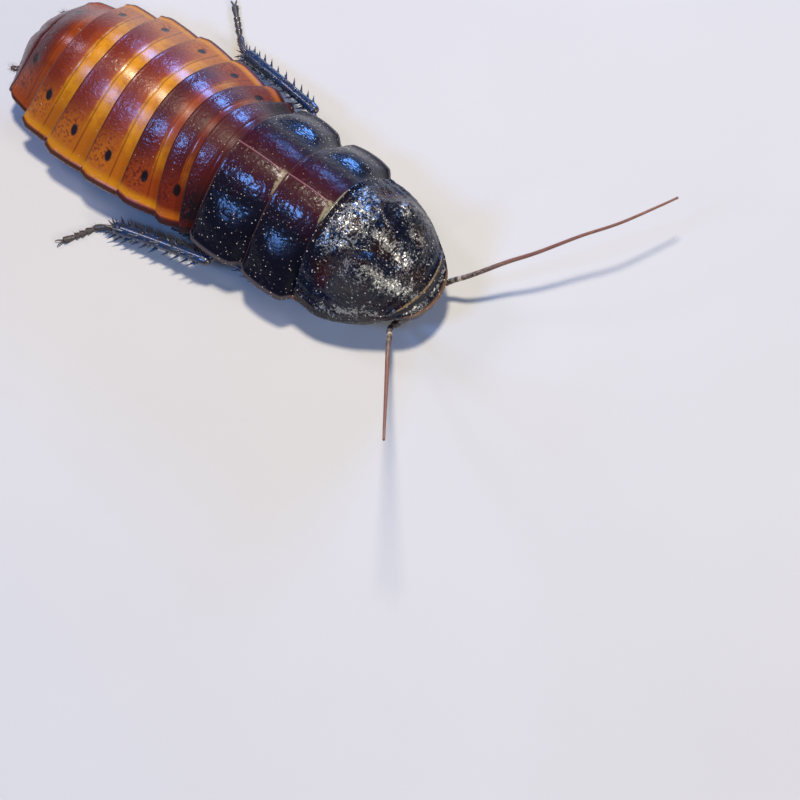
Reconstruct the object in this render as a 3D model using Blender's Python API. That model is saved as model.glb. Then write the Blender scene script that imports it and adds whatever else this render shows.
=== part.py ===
"""Madagascar hissing cockroach, an adult male, as a still life-size model.

The body is laid out along one line. A station is a distance in millimetres behind a
point just ahead of the head, x is the animal's left and z is the height over the floor.
The head points to -Y. The origin lies on the floor under the middle of the whole animal,
feelers included.
"""
import math

import bmesh
import bpy
from mathutils import Vector

MM = 0.001
GAP = 0.12
MID_X = 1.15
MID_STATION = 25.8

# trunk
CREST_Z = 15.0
TAIL_END = 66.9
TAIL_END_Z = 6.2
CREST_FALLS_FROM = 45.0
CREST_FALL_POWER = 4.2
ROOF_POWER = 1.3
ABDOMEN_FRONT = 30.0
ABDOMEN_WIDEST = 46.0
ABDOMEN_HALF_WIDTH = 12.5
ABDOMEN_FRONT_NARROWING = 1.9
ABDOMEN_FRONT_POWER = 1.6
ABDOMEN_END_POWERS = (2.4, 0.44)
MARGIN_Z = 6.6
MARGIN_FALLS_FROM = 38.0
MARGIN_FALL = 1.5
MARGIN_FALL_POWER = 1.4
MARGIN_THICK = 0.45
THORAX_BELLY_Z = 4.4
ABDOMEN_BELLY_Z = 3.0
BELLY_DEEPENS = (35.0, 42.0)
BELLY_RISES_FROM = 57.0
BELLY_RISE = 1.5
SHINGLE_STEP = 0.45

# shield over the head
RIM_STATION = 1.0
RIM_Z = 7.7
RIM_HALF_WIDTH = 5.2
RIM_CURVE = 0.075
LIP_LENGTH = 1.1
LIP_DROP = 1.1
SHIELD_HALF_WIDTH = 10.25
SHIELD_WIDEST = 0.78
SHIELD_FRONT_POWER = 1.6
SHIELD_RISE_RUN = 3.6
SHIELD_REAR = 16.6
SHIELD_REAR_SWEEP = -0.9
SHIELD_REAR_NARROWING = 0.25
SHIELD_EDGE_DROP = 1.2
SHIELD_EDGE_RISE = 0.4
SHIELD_SIDE_DROP = 0.8
SHIELD_HOLLOW = 2.0
SHIELD_THICK = 0.6
HUMP_X = 5.2
HUMP_STATION = 9.0
HUMP_HEIGHT = 2.3
HUMP_RADIUS = 3.1
GROOVE_DEPTH = 0.9
GROOVE_HALF_WIDTH = 2.4

# back plates: name, station of the hind edge on the crest, how far its ends sweep back,
# and the power of that sweep
BACK_PLATES = (
    ("mesonotum", 23.8, 0.0, 2.0),
    ("metanotum", 31.7, 0.3, 2.0),
    ("tergite_1", 35.1, -2.0, 3.0),
    ("tergite_2", 38.6, -2.0, 3.0),
    ("tergite_3", 42.8, 0.2, 2.0),
    ("tergite_4", 47.9, 1.2, 2.0),
    ("tergite_5", 53.0, 2.5, 1.6),
    ("tergite_6", 58.2, 2.3, 1.6),
    ("tergite_7", 63.0, 1.7, 1.6),
)
THORAX_WIDTHS = {"mesonotum": (10.9, 11.1, 0.7), "metanotum": (11.1, 11.3, 0.6)}
LOBE_HEIGHT = 0.8
LOBE_ACROSS = 0.78
LOBE_WIDTH = 0.16
VALLEY_DEPTH = 0.3
VALLEY_ACROSS = 0.5
VALLEY_WIDTH = 0.12
PLATE_TOOTH = 0.25

# belly plates: name, hind edge
BELLY_PLATES = (
    ("prosternum", 15.6),
    ("mesosternum", 24.6),
    ("metasternum", 34.0),
    ("sternite_2", 38.6),
    ("sternite_3", 42.8),
    ("sternite_4", 47.9),
    ("sternite_5", 53.0),
    ("sternite_6", 58.2),
    ("genital_plate", 63.6),
)
BELLY_FROM = 7.6
BELLY_INSET = 0.9
PROSTERNUM_HALF_WIDTH = 6.4

# short tail feelers: height over the floor, then x and station from root to tip
CERCUS_Z = 4.2
CERCUS_PATH = ((3.4, 64.2), (4.3, 65.3), (4.9, 66.2), (5.2, 66.9))

# head, turned a little to the animal's right
HEAD_AT = Vector((-0.5, 4.3, 4.15))
HEAD_YAW = math.radians(9)
HEAD_HALF_WIDTH = 4.1
HEAD_HALF_LENGTH = 3.1
HEAD_HALF_DEPTH = 2.3
HEAD_TILT = math.radians(40)
EYE_BULGE = 0.55

# feelers: the points of each from its socket to the tip
FEELER_RIGHT = ((-2.9, 3.7, 3.0), (-4.7, 4.3, 3.3), (-5.8, 4.0, 4.3), (-6.9, 3.1, 5.6),
                (-9.2, 1.4, 8.2), (-13.8, -2.3, 14.0), (-18.7, -6.3, 21.0), (-23.6, -10.3, 28.0),
                (-25.8, -12.1, 31.0))
FEELER_LEFT = ((1.6, 2.9, 3.0), (3.4, 2.7, 3.2), (4.4, 1.8, 4.1), (5.2, 0.6, 5.1), (6.6, -0.8, 6.0),
               (9.2, -2.9, 7.0), (12.2, -5.5, 8.0), (16.7, -8.7, 9.0), (20.9, -11.7, 9.4),
               (26.0, -14.2, 9.0), (28.2, -15.2, 8.8))
FEELER_BASE_RADIUS = 0.48
FEELER_TIP_RADIUS = 0.26
FEELER_RINGS = 30
PALP_RADIUS = 0.27

# legs: coxa base and tip, knee, ankle, the bend of the foot and its tip
LEGS = {
    "fore_left": ((3.6, 8.8, 3.3), (1.9, 13.2, 3.1), (8.0, 9.7, 3.6), (7.9, 15.0, 1.1),
                  (8.2, 16.8, 0.36), (7.9, 19.4, 0.36)),
    "fore_right": ((-3.6, 8.8, 3.3), (-1.9, 13.2, 3.1), (-7.6, 9.8, 3.6), (-7.5, 15.1, 1.1),
                   (-7.7, 16.9, 0.36), (-7.2, 19.4, 0.36)),
    "middle_left": ((5.6, 17.4, 3.3), (2.3, 23.4, 3.1), (10.2, 20.8, 4.2), (9.6, 31.4, 1.1),
                    (10.0, 33.4, 0.36), (10.6, 37.2, 0.36)),
    "middle_right": ((-5.6, 17.4, 3.3), (-2.3, 23.4, 3.1), (-9.8, 20.4, 4.2), (-9.0, 31.0, 1.1),
                     (-9.2, 33.0, 0.36), (-9.4, 36.8, 0.36)),
    "hind_left": ((6.4, 26.2, 3.3), (2.6, 32.8, 3.1), (12.7, 30.2, 4.7), (15.75, 45.0, 1.2),
                  (17.6, 47.3, 0.36), (21.1, 51.1, 0.36)),
    "hind_right": ((-6.4, 26.2, 3.3), (-2.6, 32.8, 3.1), (-11.7, 27.8, 4.7), (-14.35, 42.4, 1.2),
                   (-15.4, 44.4, 0.36), (-19.5, 46.8, 0.36)),
}
# half breadths of the coxa, thigh, shin and foot
LEG_GIRTH = {"fore": (1.3, 0.85, 0.62, 0.42), "middle": (1.4, 1.0, 0.7, 0.44),
             "hind": (1.3, 1.15, 0.85, 0.48)}
TROCHANTER_DROP = 0.95
COXA_SHAPE = (0.4, 0.9, 1.0, 0.62, 0.32)
COXA_FLATNESS = 0.5
THIGH_SHAPE = ((0.0, 0.4), (0.05, 0.52), (0.12, 0.5), (0.3, 0.84), (0.5, 1.0), (0.7, 0.92), (0.88, 0.68),
               (1.0, 0.34))
THIGH_FLATNESS = 0.72
SHIN_SHAPE = (0.5, 0.8, 0.8, 0.8, 0.84, 0.86, 0.88, 0.9, 0.96, 1.05, 1.0, 0.62)
FOOT_SHAPE = (0.8, 0.95, 0.75, 1.0, 0.75, 1.0, 0.75, 1.0, 0.7, 0.75, 0.7)
CLAW_LENGTH = 0.75
SPINE_LENGTH = {"fore": 0.95, "middle": 1.1, "hind": 1.3}
SHIN_SPINE_SIDES = ((2, 0), (3, 3), (4, 0), (5, 3), (6, 0), (7, 3), (8, 0), (8, 4), (9, 2), (9, 5))

COLOURS = {
    "shield": ((0.012, 0.010, 0.012), 0.28),
    "thorax": ((0.06, 0.012, 0.010), 0.3),
    "back": ((0.36, 0.075, 0.015), 0.32),
    "tail": ((0.16, 0.035, 0.02), 0.34),
    "belly": ((0.30, 0.10, 0.03), 0.4),
    "leg": ((0.02, 0.014, 0.012), 0.3),
    "head": ((0.02, 0.012, 0.010), 0.25),
    "eye": ((0.05, 0.010, 0.012), 0.12),
    "feeler": ((0.16, 0.07, 0.04), 0.5),
    "soft": ((0.62, 0.46, 0.30), 0.55),
}


def clear_scene():
    for item in list(bpy.data.objects):
        bpy.data.objects.remove(item, do_unlink=True)


def finish(name):
    """The material of one kind of surface, made once."""
    found = bpy.data.materials.get(name)
    if found:
        return found
    colour, roughness = COLOURS[name]
    material = bpy.data.materials.new(name)
    material.use_nodes = True
    shader = material.node_tree.nodes["Principled BSDF"]
    shader.inputs["Base Color"].default_value = (*colour, 1.0)
    shader.inputs["Roughness"].default_value = roughness
    shader.inputs["Metallic"].default_value = 0.0
    return material


def add_node(name, bm, surface, sharp_angle=50):
    """One closed solid in body millimetres, placed at its own middle under the body's empty."""
    bmesh.ops.remove_doubles(bm, verts=bm.verts, dist=0.0005)
    bmesh.ops.recalc_face_normals(bm, faces=bm.faces)
    middle = sum((v.co for v in bm.verts), Vector()) / len(bm.verts)
    for vert in bm.verts:
        vert.co = (vert.co - middle) * MM
    mesh = bpy.data.meshes.new(name)
    bm.to_mesh(mesh)
    bm.free()
    mesh.materials.append(finish(surface))
    mesh.shade_smooth()
    mesh.set_sharp_from_angle(angle=math.radians(sharp_angle))
    item = bpy.data.objects.new(name, mesh)
    bpy.context.collection.objects.link(item)
    item.parent = bpy.data.objects["hissing_cockroach"]
    item.location = middle * MM
    return item


def smooth_step(value, start, end):
    part = min(max((value - start) / (end - start), 0.0), 1.0)
    return part * part * (3 - 2 * part)


def blend(a, b, part):
    return a + (b - a) * part


def crest_height(station):
    fall = max(0.0, station - CREST_FALLS_FROM) / (TAIL_END - CREST_FALLS_FROM)
    return CREST_Z - (CREST_Z - TAIL_END_Z) * min(fall, 1.0) ** CREST_FALL_POWER


def margin_height(station):
    fall = max(0.0, station - MARGIN_FALLS_FROM) / (TAIL_END - MARGIN_FALLS_FROM)
    return MARGIN_Z - MARGIN_FALL * fall ** MARGIN_FALL_POWER


def belly_height(station):
    lowered = blend(THORAX_BELLY_Z, ABDOMEN_BELLY_Z, smooth_step(station, *BELLY_DEEPENS))
    return lowered + BELLY_RISE * smooth_step(station, BELLY_RISES_FROM, TAIL_END)


def abdomen_half_width(station):
    if station < ABDOMEN_WIDEST:
        part = (ABDOMEN_WIDEST - station) / (ABDOMEN_WIDEST - ABDOMEN_FRONT)
        return ABDOMEN_HALF_WIDTH - ABDOMEN_FRONT_NARROWING * part ** ABDOMEN_FRONT_POWER
    part = min((station - ABDOMEN_WIDEST) / (TAIL_END - ABDOMEN_WIDEST), 1.0)
    return ABDOMEN_HALF_WIDTH * max(1 - part ** ABDOMEN_END_POWERS[0], 0.0) ** ABDOMEN_END_POWERS[1]


def back_height(across, station):
    """Height of the back: across runs from -1 at the right margin to 1 at the left."""
    margin = margin_height(station)
    roof = max(0.0, 1 - across * across) ** ROOF_POWER
    return margin + (crest_height(station) - margin) * roof


def slab(top, bottom, columns, rows):
    """A closed plate between two surfaces, both functions of across (-1 to 1) and along (0 to 1)."""
    bm = bmesh.new()
    sheets = []
    for surface in (top, bottom):
        sheets.append([[bm.verts.new(surface(-1 + 2 * i / columns, j / rows))
                        for i in range(columns + 1)] for j in range(rows + 1)])
    upper, lower = sheets
    for j in range(rows):
        for i in range(columns):
            bm.faces.new((upper[j][i], upper[j][i + 1], upper[j + 1][i + 1], upper[j + 1][i]))
            bm.faces.new((lower[j][i], lower[j + 1][i], lower[j + 1][i + 1], lower[j][i + 1]))
    for i in range(columns):
        bm.faces.new((upper[0][i], lower[0][i], lower[0][i + 1], upper[0][i + 1]))
        bm.faces.new((upper[rows][i], upper[rows][i + 1], lower[rows][i + 1], lower[rows][i]))
    for j in range(rows):
        bm.faces.new((upper[j][0], upper[j + 1][0], lower[j + 1][0], lower[j][0]))
        bm.faces.new((upper[j][columns], lower[j][columns], lower[j + 1][columns], upper[j + 1][columns]))
    return bm


def hind_edge(crest, sweep, power, half_width):
    """The station of a plate's hind edge at any x."""
    return lambda x: crest + sweep * abs(x / half_width) ** power


def shield_half_width(along):
    if along < SHIELD_WIDEST:
        part = (1 - along / SHIELD_WIDEST) ** SHIELD_FRONT_POWER
        return SHIELD_HALF_WIDTH - (SHIELD_HALF_WIDTH - RIM_HALF_WIDTH) * part
    return SHIELD_HALF_WIDTH - SHIELD_REAR_NARROWING * ((along - SHIELD_WIDEST) / (1 - SHIELD_WIDEST)) ** 2


def shield_place(across, along):
    x = across * shield_half_width(along)
    front = RIM_STATION + RIM_CURVE * (across * RIM_HALF_WIDTH) ** 2
    rear = SHIELD_REAR + SHIELD_REAR_SWEEP * abs(across) ** 3
    return x, blend(front, rear, along)


def shield_edge_height(along):
    dip = SHIELD_EDGE_DROP * smooth_step(along, 0.0, 0.3)
    return RIM_Z - dip + SHIELD_EDGE_RISE * smooth_step(along, 0.6, 1.0)


def shield_side_drop(across, along):
    """The side edges hang lower than the rim and the rear."""
    sides = smooth_step(along, 0.0, 0.15) * (1 - smooth_step(along, 0.7, 1.0))
    return SHIELD_SIDE_DROP * across ** 4 * sides


def shield_lip(across, along):
    """How far the front edge bends down before the face."""
    run = (SHIELD_REAR - RIM_STATION) * along
    return LIP_DROP * (1 - smooth_step(run, 0.0, 1.5 * LIP_LENGTH)) * (1 - 0.5 * across * across)


def shield_top(across, along):
    """The shield rises behind its lip to two blunt humps and a level hind part."""
    x, station = shield_place(across, along)
    run = max((SHIELD_REAR - RIM_STATION) * along - LIP_LENGTH, 0.0)
    rise = (CREST_Z - RIM_Z) * (1 - math.exp(-run / SHIELD_RISE_RUN))
    roof = max(0.0, 1 - abs(across) ** 2.3)
    edge = shield_edge_height(along)
    z = edge + (rise + RIM_Z - edge) * roof - shield_side_drop(across, along)
    aside = (abs(x) - HUMP_X) / HUMP_RADIUS
    ahead = (station - HUMP_STATION) / HUMP_RADIUS
    z += HUMP_HEIGHT * math.exp(-aside * aside - ahead * ahead)
    groove = math.exp(-(x / GROOVE_HALF_WIDTH) ** 2)
    groove *= smooth_step(station, 4.0, 8.0) * (1 - smooth_step(station, 11.0, 15.5))
    return Vector((x, station, z - GROOVE_DEPTH * groove - shield_lip(across, along)))


def shield_bottom(across, along):
    x, station = shield_place(across, along)
    hollow = SHIELD_HOLLOW * (1 - across * across) * smooth_step(along, 0.0, 0.3)
    low = shield_edge_height(along) - SHIELD_THICK - shield_side_drop(across, along)
    return Vector((x, station, low + hollow - shield_lip(across, along)))


def plate_width(name, crest):
    """Half widths of a back plate at its front and hind corners, and how far its side swells."""
    if name in THORAX_WIDTHS:
        return THORAX_WIDTHS[name]
    number = [row[0] for row in BACK_PLATES].index(name)
    before = BACK_PLATES[number - 1]
    ends = abdomen_half_width(before[1] + before[2]), abdomen_half_width(crest)
    return ends[0] - PLATE_TOOTH, ends[1] + PLATE_TOOTH, 0.12


def back_plates():
    """Pronotum, then each back plate as a slice of the trunk down to the side seam."""
    add_node("pronotum", slab(shield_top, shield_bottom, 18, 12), "shield")
    front = hind_edge(SHIELD_REAR, SHIELD_REAR_SWEEP, 3.0, SHIELD_HALF_WIDTH)
    for name, crest, sweep, power in BACK_PLATES:
        fore, hind, bulge = plate_width(name, crest + sweep)
        rear = hind_edge(crest, sweep, power, hind)
        lobed = name in THORAX_WIDTHS
        add_node(name, plate_slice(front, rear, fore, hind, bulge, lobed), "thorax" if lobed else "back")
        front = rear
    add_node("tail_plate", tail_slice(front, hind - 0.3), "tail")


def side_lobes(across, along):
    """A thorax plate swells into a lobe at each side, with a shallow valley on its inner side."""
    arch = max(math.sin(math.pi * along), 0.0) ** 0.7
    lobe = LOBE_HEIGHT * math.exp(-((abs(across) - LOBE_ACROSS) / LOBE_WIDTH) ** 2)
    valley = VALLEY_DEPTH * math.exp(-((abs(across) - VALLEY_ACROSS) / VALLEY_WIDTH) ** 2)
    return arch * (lobe - valley)


def plate_slice(front, rear, fore, hind, bulge, lobed):
    """One back plate, low at its front edge and proud of the next at its hind edge."""
    def place(across, along):
        x = across * (blend(fore, hind, along) + 4 * bulge * along * (1 - along))
        return x, blend(front(x) + GAP, rear(x), along)

    def top(across, along):
        x, station = place(across, along)
        z = back_height(across, station) - SHINGLE_STEP * (1 - across * across) * (1 - along) ** 1.5
        return Vector((x, station, z + side_lobes(across, along) if lobed else z))

    def bottom(across, along):
        x, station = place(across, along)
        return Vector((x, station, margin_height(station) - MARGIN_THICK))

    return slab(top, bottom, 14, 3)


def tail_slice(front, half_width):
    """The last plate, rounding off the back."""
    def place(across, along):
        x = across * blend(half_width, 3.9, along ** 1.6)
        return x, blend(front(x) + GAP, TAIL_END - 0.9 * abs(across) ** 2.5, along)

    def top(across, along):
        x, station = place(across, along)
        roof = max(0.0, 1 - across * across) ** ROOF_POWER
        margin = margin_height(station) - 0.15
        crest = blend(crest_height(front(0)) - SHINGLE_STEP, TAIL_END_Z, along ** 1.7)
        return Vector((x, station, margin + (crest - margin) * roof))

    def bottom(across, along):
        x, station = place(across, along)
        return Vector((x, station, margin_height(station) - 0.15 - MARGIN_THICK))

    return slab(top, bottom, 14, 4)


def belly_plates():
    """The underside, plate by plate, up to the side seam."""
    start = BELLY_FROM
    for name, end in BELLY_PLATES:
        add_node(name, belly_slice(name, start, end), "belly")
        start = end + GAP


def belly_slice(name, start, end):
    def seam(station):
        if name == "prosternum":
            return MARGIN_Z - 0.3
        return margin_height(station) - MARGIN_THICK - GAP - 0.18 * smooth_step(station, 56.0, 62.0)

    def half_width(station):
        if name == "prosternum":
            return blend(PROSTERNUM_HALF_WIDTH - 1.6, PROSTERNUM_HALF_WIDTH, smooth_step(station, start, end))
        if station < ABDOMEN_WIDEST - 12:
            return THORAX_WIDTHS["metanotum"][0] - BELLY_INSET
        return abdomen_half_width(min(station, TAIL_END - 1.0)) - BELLY_INSET

    def top(across, along):
        station = blend(start, end, along)
        return Vector((across * half_width(station), station, seam(station)))

    def bottom(across, along):
        station = blend(start, end, along)
        deep = (seam(station) - 0.3 - belly_height(station)) * max(0.0, 1 - across ** 4) ** 0.6
        return Vector((across * half_width(station), station, seam(station) - 0.3 - deep))

    return slab(top, bottom, 8, 2)


def curve_points(points, count):
    """Evenly counted points on a smooth curve through the given ones."""
    knots = [Vector(p) for p in points]
    padded = [2 * knots[0] - knots[1]] + knots + [2 * knots[-1] - knots[-2]]
    out = []
    for n in range(count):
        at = n / (count - 1) * (len(knots) - 1)
        k = min(int(at), len(knots) - 2)
        t = at - k
        a, b, c, d = padded[k:k + 4]
        out.append(0.5 * (2 * b + (c - a) * t + (2 * a - 5 * b + 4 * c - d) * t * t
                          + (3 * b - a - 3 * c + d) * t ** 3))
    return out


def tube(points, radii, sides, flatness=1.0, floor=None):
    """A closed limb along points; flatness scales its height, floor flattens it underneath."""
    bm = bmesh.new()
    rings = []
    for n, (point, radius) in enumerate(zip(points, radii)):
        ahead = points[min(n + 1, len(points) - 1)] - points[max(n - 1, 0)]
        ahead.normalize()
        aside = ahead.cross(Vector((0, 0, 1))).normalized()
        above = aside.cross(ahead)
        ring = []
        for k in range(sides):
            turn = 2 * math.pi * k / sides
            place = point + aside * radius * math.cos(turn) + above * radius * flatness * math.sin(turn)
            if floor is not None:
                place.z = max(place.z, floor)
            ring.append(bm.verts.new(place))
        rings.append(ring)
    for lower, upper in zip(rings, rings[1:]):
        for k in range(sides):
            bm.faces.new((lower[k], upper[k], upper[(k + 1) % sides], lower[(k + 1) % sides]))
    bm.faces.new(rings[0])
    bm.faces.new(rings[-1][::-1])
    bm.normal_update()
    return bm


def raise_spines(bm, sides, places, length, lean, base=0.2):
    """A thorn on each listed face of a tube: ring, side. Lean is along the limb."""
    bm.faces.ensure_lookup_table()
    chosen = [bm.faces[ring * sides + side] for ring, side in places]
    for face in chosen:
        bmesh.ops.inset_individual(bm, faces=[face], thickness=base, use_even_offset=True)
        centre, normal = face.calc_center_median(), face.normal.copy()
        tip = centre + (normal + lean).normalized() * length
        for vert in bmesh.ops.poke(bm, faces=[face])["verts"]:
            vert.co = tip


def legs():
    for name, (base, tip, knee, ankle, bend, toe) in LEGS.items():
        pair = name.split("_")[0]
        coxa_r, thigh_r, shin_r, foot_r = LEG_GIRTH[pair]
        base, tip, knee, ankle, bend, toe = (Vector(p) for p in (base, tip, knee, ankle, bend, toe))
        points = [base.lerp(tip, n / 4) for n in range(5)]
        add_node(f"coxa_{name}", tube(points, [coxa_r * k for k in COXA_SHAPE], 8, COXA_FLATNESS), "leg")
        thigh_start = tip + (tip - base).normalized() * 0.75 + (knee - tip).normalized() * 0.55
        thigh_start.z -= TROCHANTER_DROP
        points = [thigh_start.lerp(knee, along) for along, _ in THIGH_SHAPE]
        thigh = tube(points, [thigh_r * k for _, k in THIGH_SHAPE], 8, THIGH_FLATNESS)
        add_node(f"femur_{name}", thigh, "leg")
        knee_clearance = (ankle - knee).normalized() * (0.34 * thigh_r + GAP + 0.06)
        shin_start = knee + (knee - tip).normalized() * 0.62 + knee_clearance
        points = [shin_start.lerp(ankle, n / 11) for n in range(12)]
        shin = tube(points, [shin_r * k for k in SHIN_SHAPE], 6)
        lean = (ankle - knee).normalized() * 0.9
        raise_spines(shin, 6, SHIN_SPINE_SIDES, SPINE_LENGTH[pair], lean)
        add_node(f"tibia_{name}", shin, "leg")
        foot_start = ankle + (bend - ankle).normalized() * (0.62 * shin_r + GAP)
        points = curve_points((foot_start, bend, bend.lerp(toe, 0.5), toe), 11)
        foot = tube(points, [foot_r * k for k in FOOT_SHAPE], 6, floor=0.0)
        claw_lean = (toe - bend).normalized() * 1.4
        raise_spines(foot, 6, ((9, 0), (9, 2)), CLAW_LENGTH, claw_lean, base=0.1)
        add_node(f"tarsus_{name}", foot, "leg")


def head_axes():
    """Directions of the head: to its left, up to its crown and out of its face."""
    left = Vector((math.cos(HEAD_YAW), -math.sin(HEAD_YAW), 0))
    ahead = Vector((-math.sin(HEAD_YAW), -math.cos(HEAD_YAW), 0))
    up = Vector((0, 0, 1))
    crown = ahead * math.sin(HEAD_TILT) + up * math.cos(HEAD_TILT)
    face = ahead * math.cos(HEAD_TILT) - up * math.sin(HEAD_TILT)
    return left, crown, face


def head_point(turn, rise, grow=0.0):
    """A point of the head capsule: turn goes round its long axis, rise from mouth to crown."""
    left, crown, face = head_axes()
    ring = math.cos(rise) ** 0.85
    narrow = 0.82 + 0.18 * math.sin(rise)
    place = left * math.sin(turn) * (HEAD_HALF_WIDTH + grow) * ring * narrow
    place += face * math.cos(turn) * (HEAD_HALF_DEPTH + grow) * ring
    return HEAD_AT + place + crown * math.sin(rise) * (HEAD_HALF_LENGTH + grow)


def head_shell(grow=0.0, columns=16, rows=9):
    bm = bmesh.new()
    rings = []
    for j in range(1, rows):
        rise = -math.pi / 2 + math.pi * j / rows
        rings.append([bm.verts.new(head_point(2 * math.pi * i / columns, rise, grow))
                      for i in range(columns)])
    for lower, upper in zip(rings, rings[1:]):
        for i in range(columns):
            k = (i + 1) % columns
            bm.faces.new((lower[i], lower[k], upper[k], upper[i]))
    for ring, rise in ((rings[0][::-1], -math.pi / 2), (rings[-1], math.pi / 2)):
        pole = bm.verts.new(head_point(0, rise, grow))
        for i in range(columns):
            bm.faces.new((ring[i], ring[(i + 1) % columns], pole))
    bmesh.ops.recalc_face_normals(bm, faces=bm.faces)
    return bm


def eye_lens(side):
    """A kidney-shaped lens lying on the side of the head, waist towards the feeler's socket."""
    middle_turn, middle_rise = math.radians(72), math.radians(30)

    def lens_point(across, along, bulge):
        angle = 2 * math.pi * along
        waist = 1 - 0.22 * max(0.0, math.cos(angle - math.pi)) ** 4
        turn = middle_turn + math.radians(21) * across * math.cos(angle) * waist
        rise = middle_rise + math.radians(24) * across * math.sin(angle)
        inner = head_point(side * turn, rise, 0.1)
        outward = (head_point(side * turn, rise, 1.1) - inner).normalized()
        return inner + outward * bulge

    bm = bmesh.new()
    sides, rings = 12, (1.0, 0.8, 0.45)
    front = [[bm.verts.new(lens_point(r, k / sides, 0.14 + EYE_BULGE * math.sqrt(1 - (0.98 * r) ** 2)))
              for k in range(sides)] for r in rings]
    back = [[bm.verts.new(lens_point(r, k / sides, 0.0)) for k in range(sides)] for r in rings]
    for sheet in (front, back):
        for outer, inner in zip(sheet, sheet[1:]):
            for k in range(sides):
                m = (k + 1) % sides
                bm.faces.new((outer[k], outer[m], inner[m], inner[k]))
        pole = bm.verts.new(lens_point(0, 0, 0.14 + EYE_BULGE if sheet is front else 0.0))
        for k in range(sides):
            bm.faces.new((sheet[-1][k], sheet[-1][(k + 1) % sides], pole))
    for k in range(sides):
        m = (k + 1) % sides
        bm.faces.new((front[0][k], back[0][k], back[0][m], front[0][m]))
    return bm


def cut_by_head(item):
    """Cuts a piece where it would enter the head, leaving the usual gap."""
    cutter_mesh = bpy.data.meshes.new("head_clearance")
    bm = head_shell(GAP)
    for vert in bm.verts:
        vert.co = vert.co * MM
    bm.to_mesh(cutter_mesh)
    bm.free()
    cutter = bpy.data.objects.new(f"clearance_{item.name}", cutter_mesh)
    bpy.context.collection.objects.link(cutter)
    cutter.parent = bpy.data.objects["hissing_cockroach"]
    cutter.hide_render = True
    cutter.display_type = "WIRE"
    cut = item.modifiers.new("head clearance", "BOOLEAN")
    cut.operation = "DIFFERENCE"
    cut.solver = "EXACT"
    cut.object = cutter


def head():
    add_node("head", head_shell(), "head")
    for side, word in ((1, "left"), (-1, "right")):
        add_node(f"eye_{word}", eye_lens(side), "eye")
    left, crown, face = head_axes()
    mouth = HEAD_AT - crown * (HEAD_HALF_LENGTH - 0.3)
    points = [mouth - crown * d for d in (0.0, 0.6, 1.1, 1.5)]
    jaws = add_node("mouthparts", tube(points, [1.9, 1.7, 1.3, 0.7], 10, 0.62), "head")
    cut_by_head(jaws)
    for side, word in ((1, "left"), (-1, "right")):
        root = HEAD_AT - crown * 2.9 + left * side * 2.0 - face * 0.9
        points = [root, root + left * side * 0.9 + face * 0.6,
                  root + left * side * 1.0 + face * 1.9 - crown * 0.1,
                  root + left * side * 0.2 + face * 2.8 - crown * 0.2]
        palp = add_node(f"palp_{word}", tube(curve_points(points, 9), [PALP_RADIUS] * 9, 6), "feeler")
        cut_by_head(palp)
    neck_points = [HEAD_AT + Vector((0.1, 0.6, 0.6)), Vector((-0.1, 6.6, 5.0)),
                   Vector((0, BELLY_FROM - 0.3, 5.1))]
    stalk = tube(curve_points(neck_points, 5), [1.6, 1.6, 1.5, 1.45, 1.4], 10, 0.7)
    neck = add_node("neck", stalk, "soft")
    cut_by_head(neck)


def feelers():
    for word, points in (("right", FEELER_RIGHT), ("left", FEELER_LEFT)):
        route = curve_points(points, FEELER_RINGS)
        radii = [blend(FEELER_BASE_RADIUS, FEELER_TIP_RADIUS, (n / (FEELER_RINGS - 1)) ** 0.7)
                 for n in range(FEELER_RINGS)]
        feeler = add_node(f"antenna_{word}", tube(route, radii, 6), "feeler")
        cut_by_head(feeler)


def cerci():
    for side, word in ((1, "left"), (-1, "right")):
        points = [Vector((side * x, station, CERCUS_Z)) for x, station in CERCUS_PATH]
        add_node(f"cercus_{word}", tube(points, [0.3, 0.42, 0.4, 0.26], 8, 0.62), "leg")


def build():
    clear_scene()
    body = bpy.data.objects.new("hissing_cockroach", None)
    bpy.context.collection.objects.link(body)
    body.location = (-MID_X * MM, -MID_STATION * MM, 0)
    head()
    feelers()
    back_plates()
    belly_plates()
    legs()
    cerci()


build()
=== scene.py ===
import math

import bpy
import numpy as np
from mathutils import Matrix, Vector


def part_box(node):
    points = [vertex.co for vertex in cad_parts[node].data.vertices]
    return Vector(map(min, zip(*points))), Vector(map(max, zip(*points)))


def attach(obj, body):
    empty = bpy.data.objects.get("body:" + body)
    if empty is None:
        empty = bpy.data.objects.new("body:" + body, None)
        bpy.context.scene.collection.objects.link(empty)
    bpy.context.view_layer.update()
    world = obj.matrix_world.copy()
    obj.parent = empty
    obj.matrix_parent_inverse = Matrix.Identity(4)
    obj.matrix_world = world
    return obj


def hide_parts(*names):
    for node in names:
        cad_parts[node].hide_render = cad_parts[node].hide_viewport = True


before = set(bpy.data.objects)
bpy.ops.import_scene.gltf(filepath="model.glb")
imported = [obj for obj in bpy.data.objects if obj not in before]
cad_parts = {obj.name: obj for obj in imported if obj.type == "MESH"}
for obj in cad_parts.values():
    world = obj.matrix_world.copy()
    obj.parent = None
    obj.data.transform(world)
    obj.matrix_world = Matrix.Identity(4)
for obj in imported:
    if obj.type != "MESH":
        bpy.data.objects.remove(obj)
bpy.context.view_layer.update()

# Soft skin. A pale, leathery sleeve runs from the neck to the tail, and every plate of horn is set in
# it. It shows at the neck, as two folds behind the shield, and along the flanks between back and belly.
# Sizes are in millimetres: x to the animal's left, station tailward from ahead of the head, z upward.
MM = 0.001
RIM_STATION = 1.0
shield_low, shield_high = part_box("pronotum")
ORIGIN = np.array([(shield_low.x + shield_high.x) / 2, shield_low.y - RIM_STATION * MM, 0.0])

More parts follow.
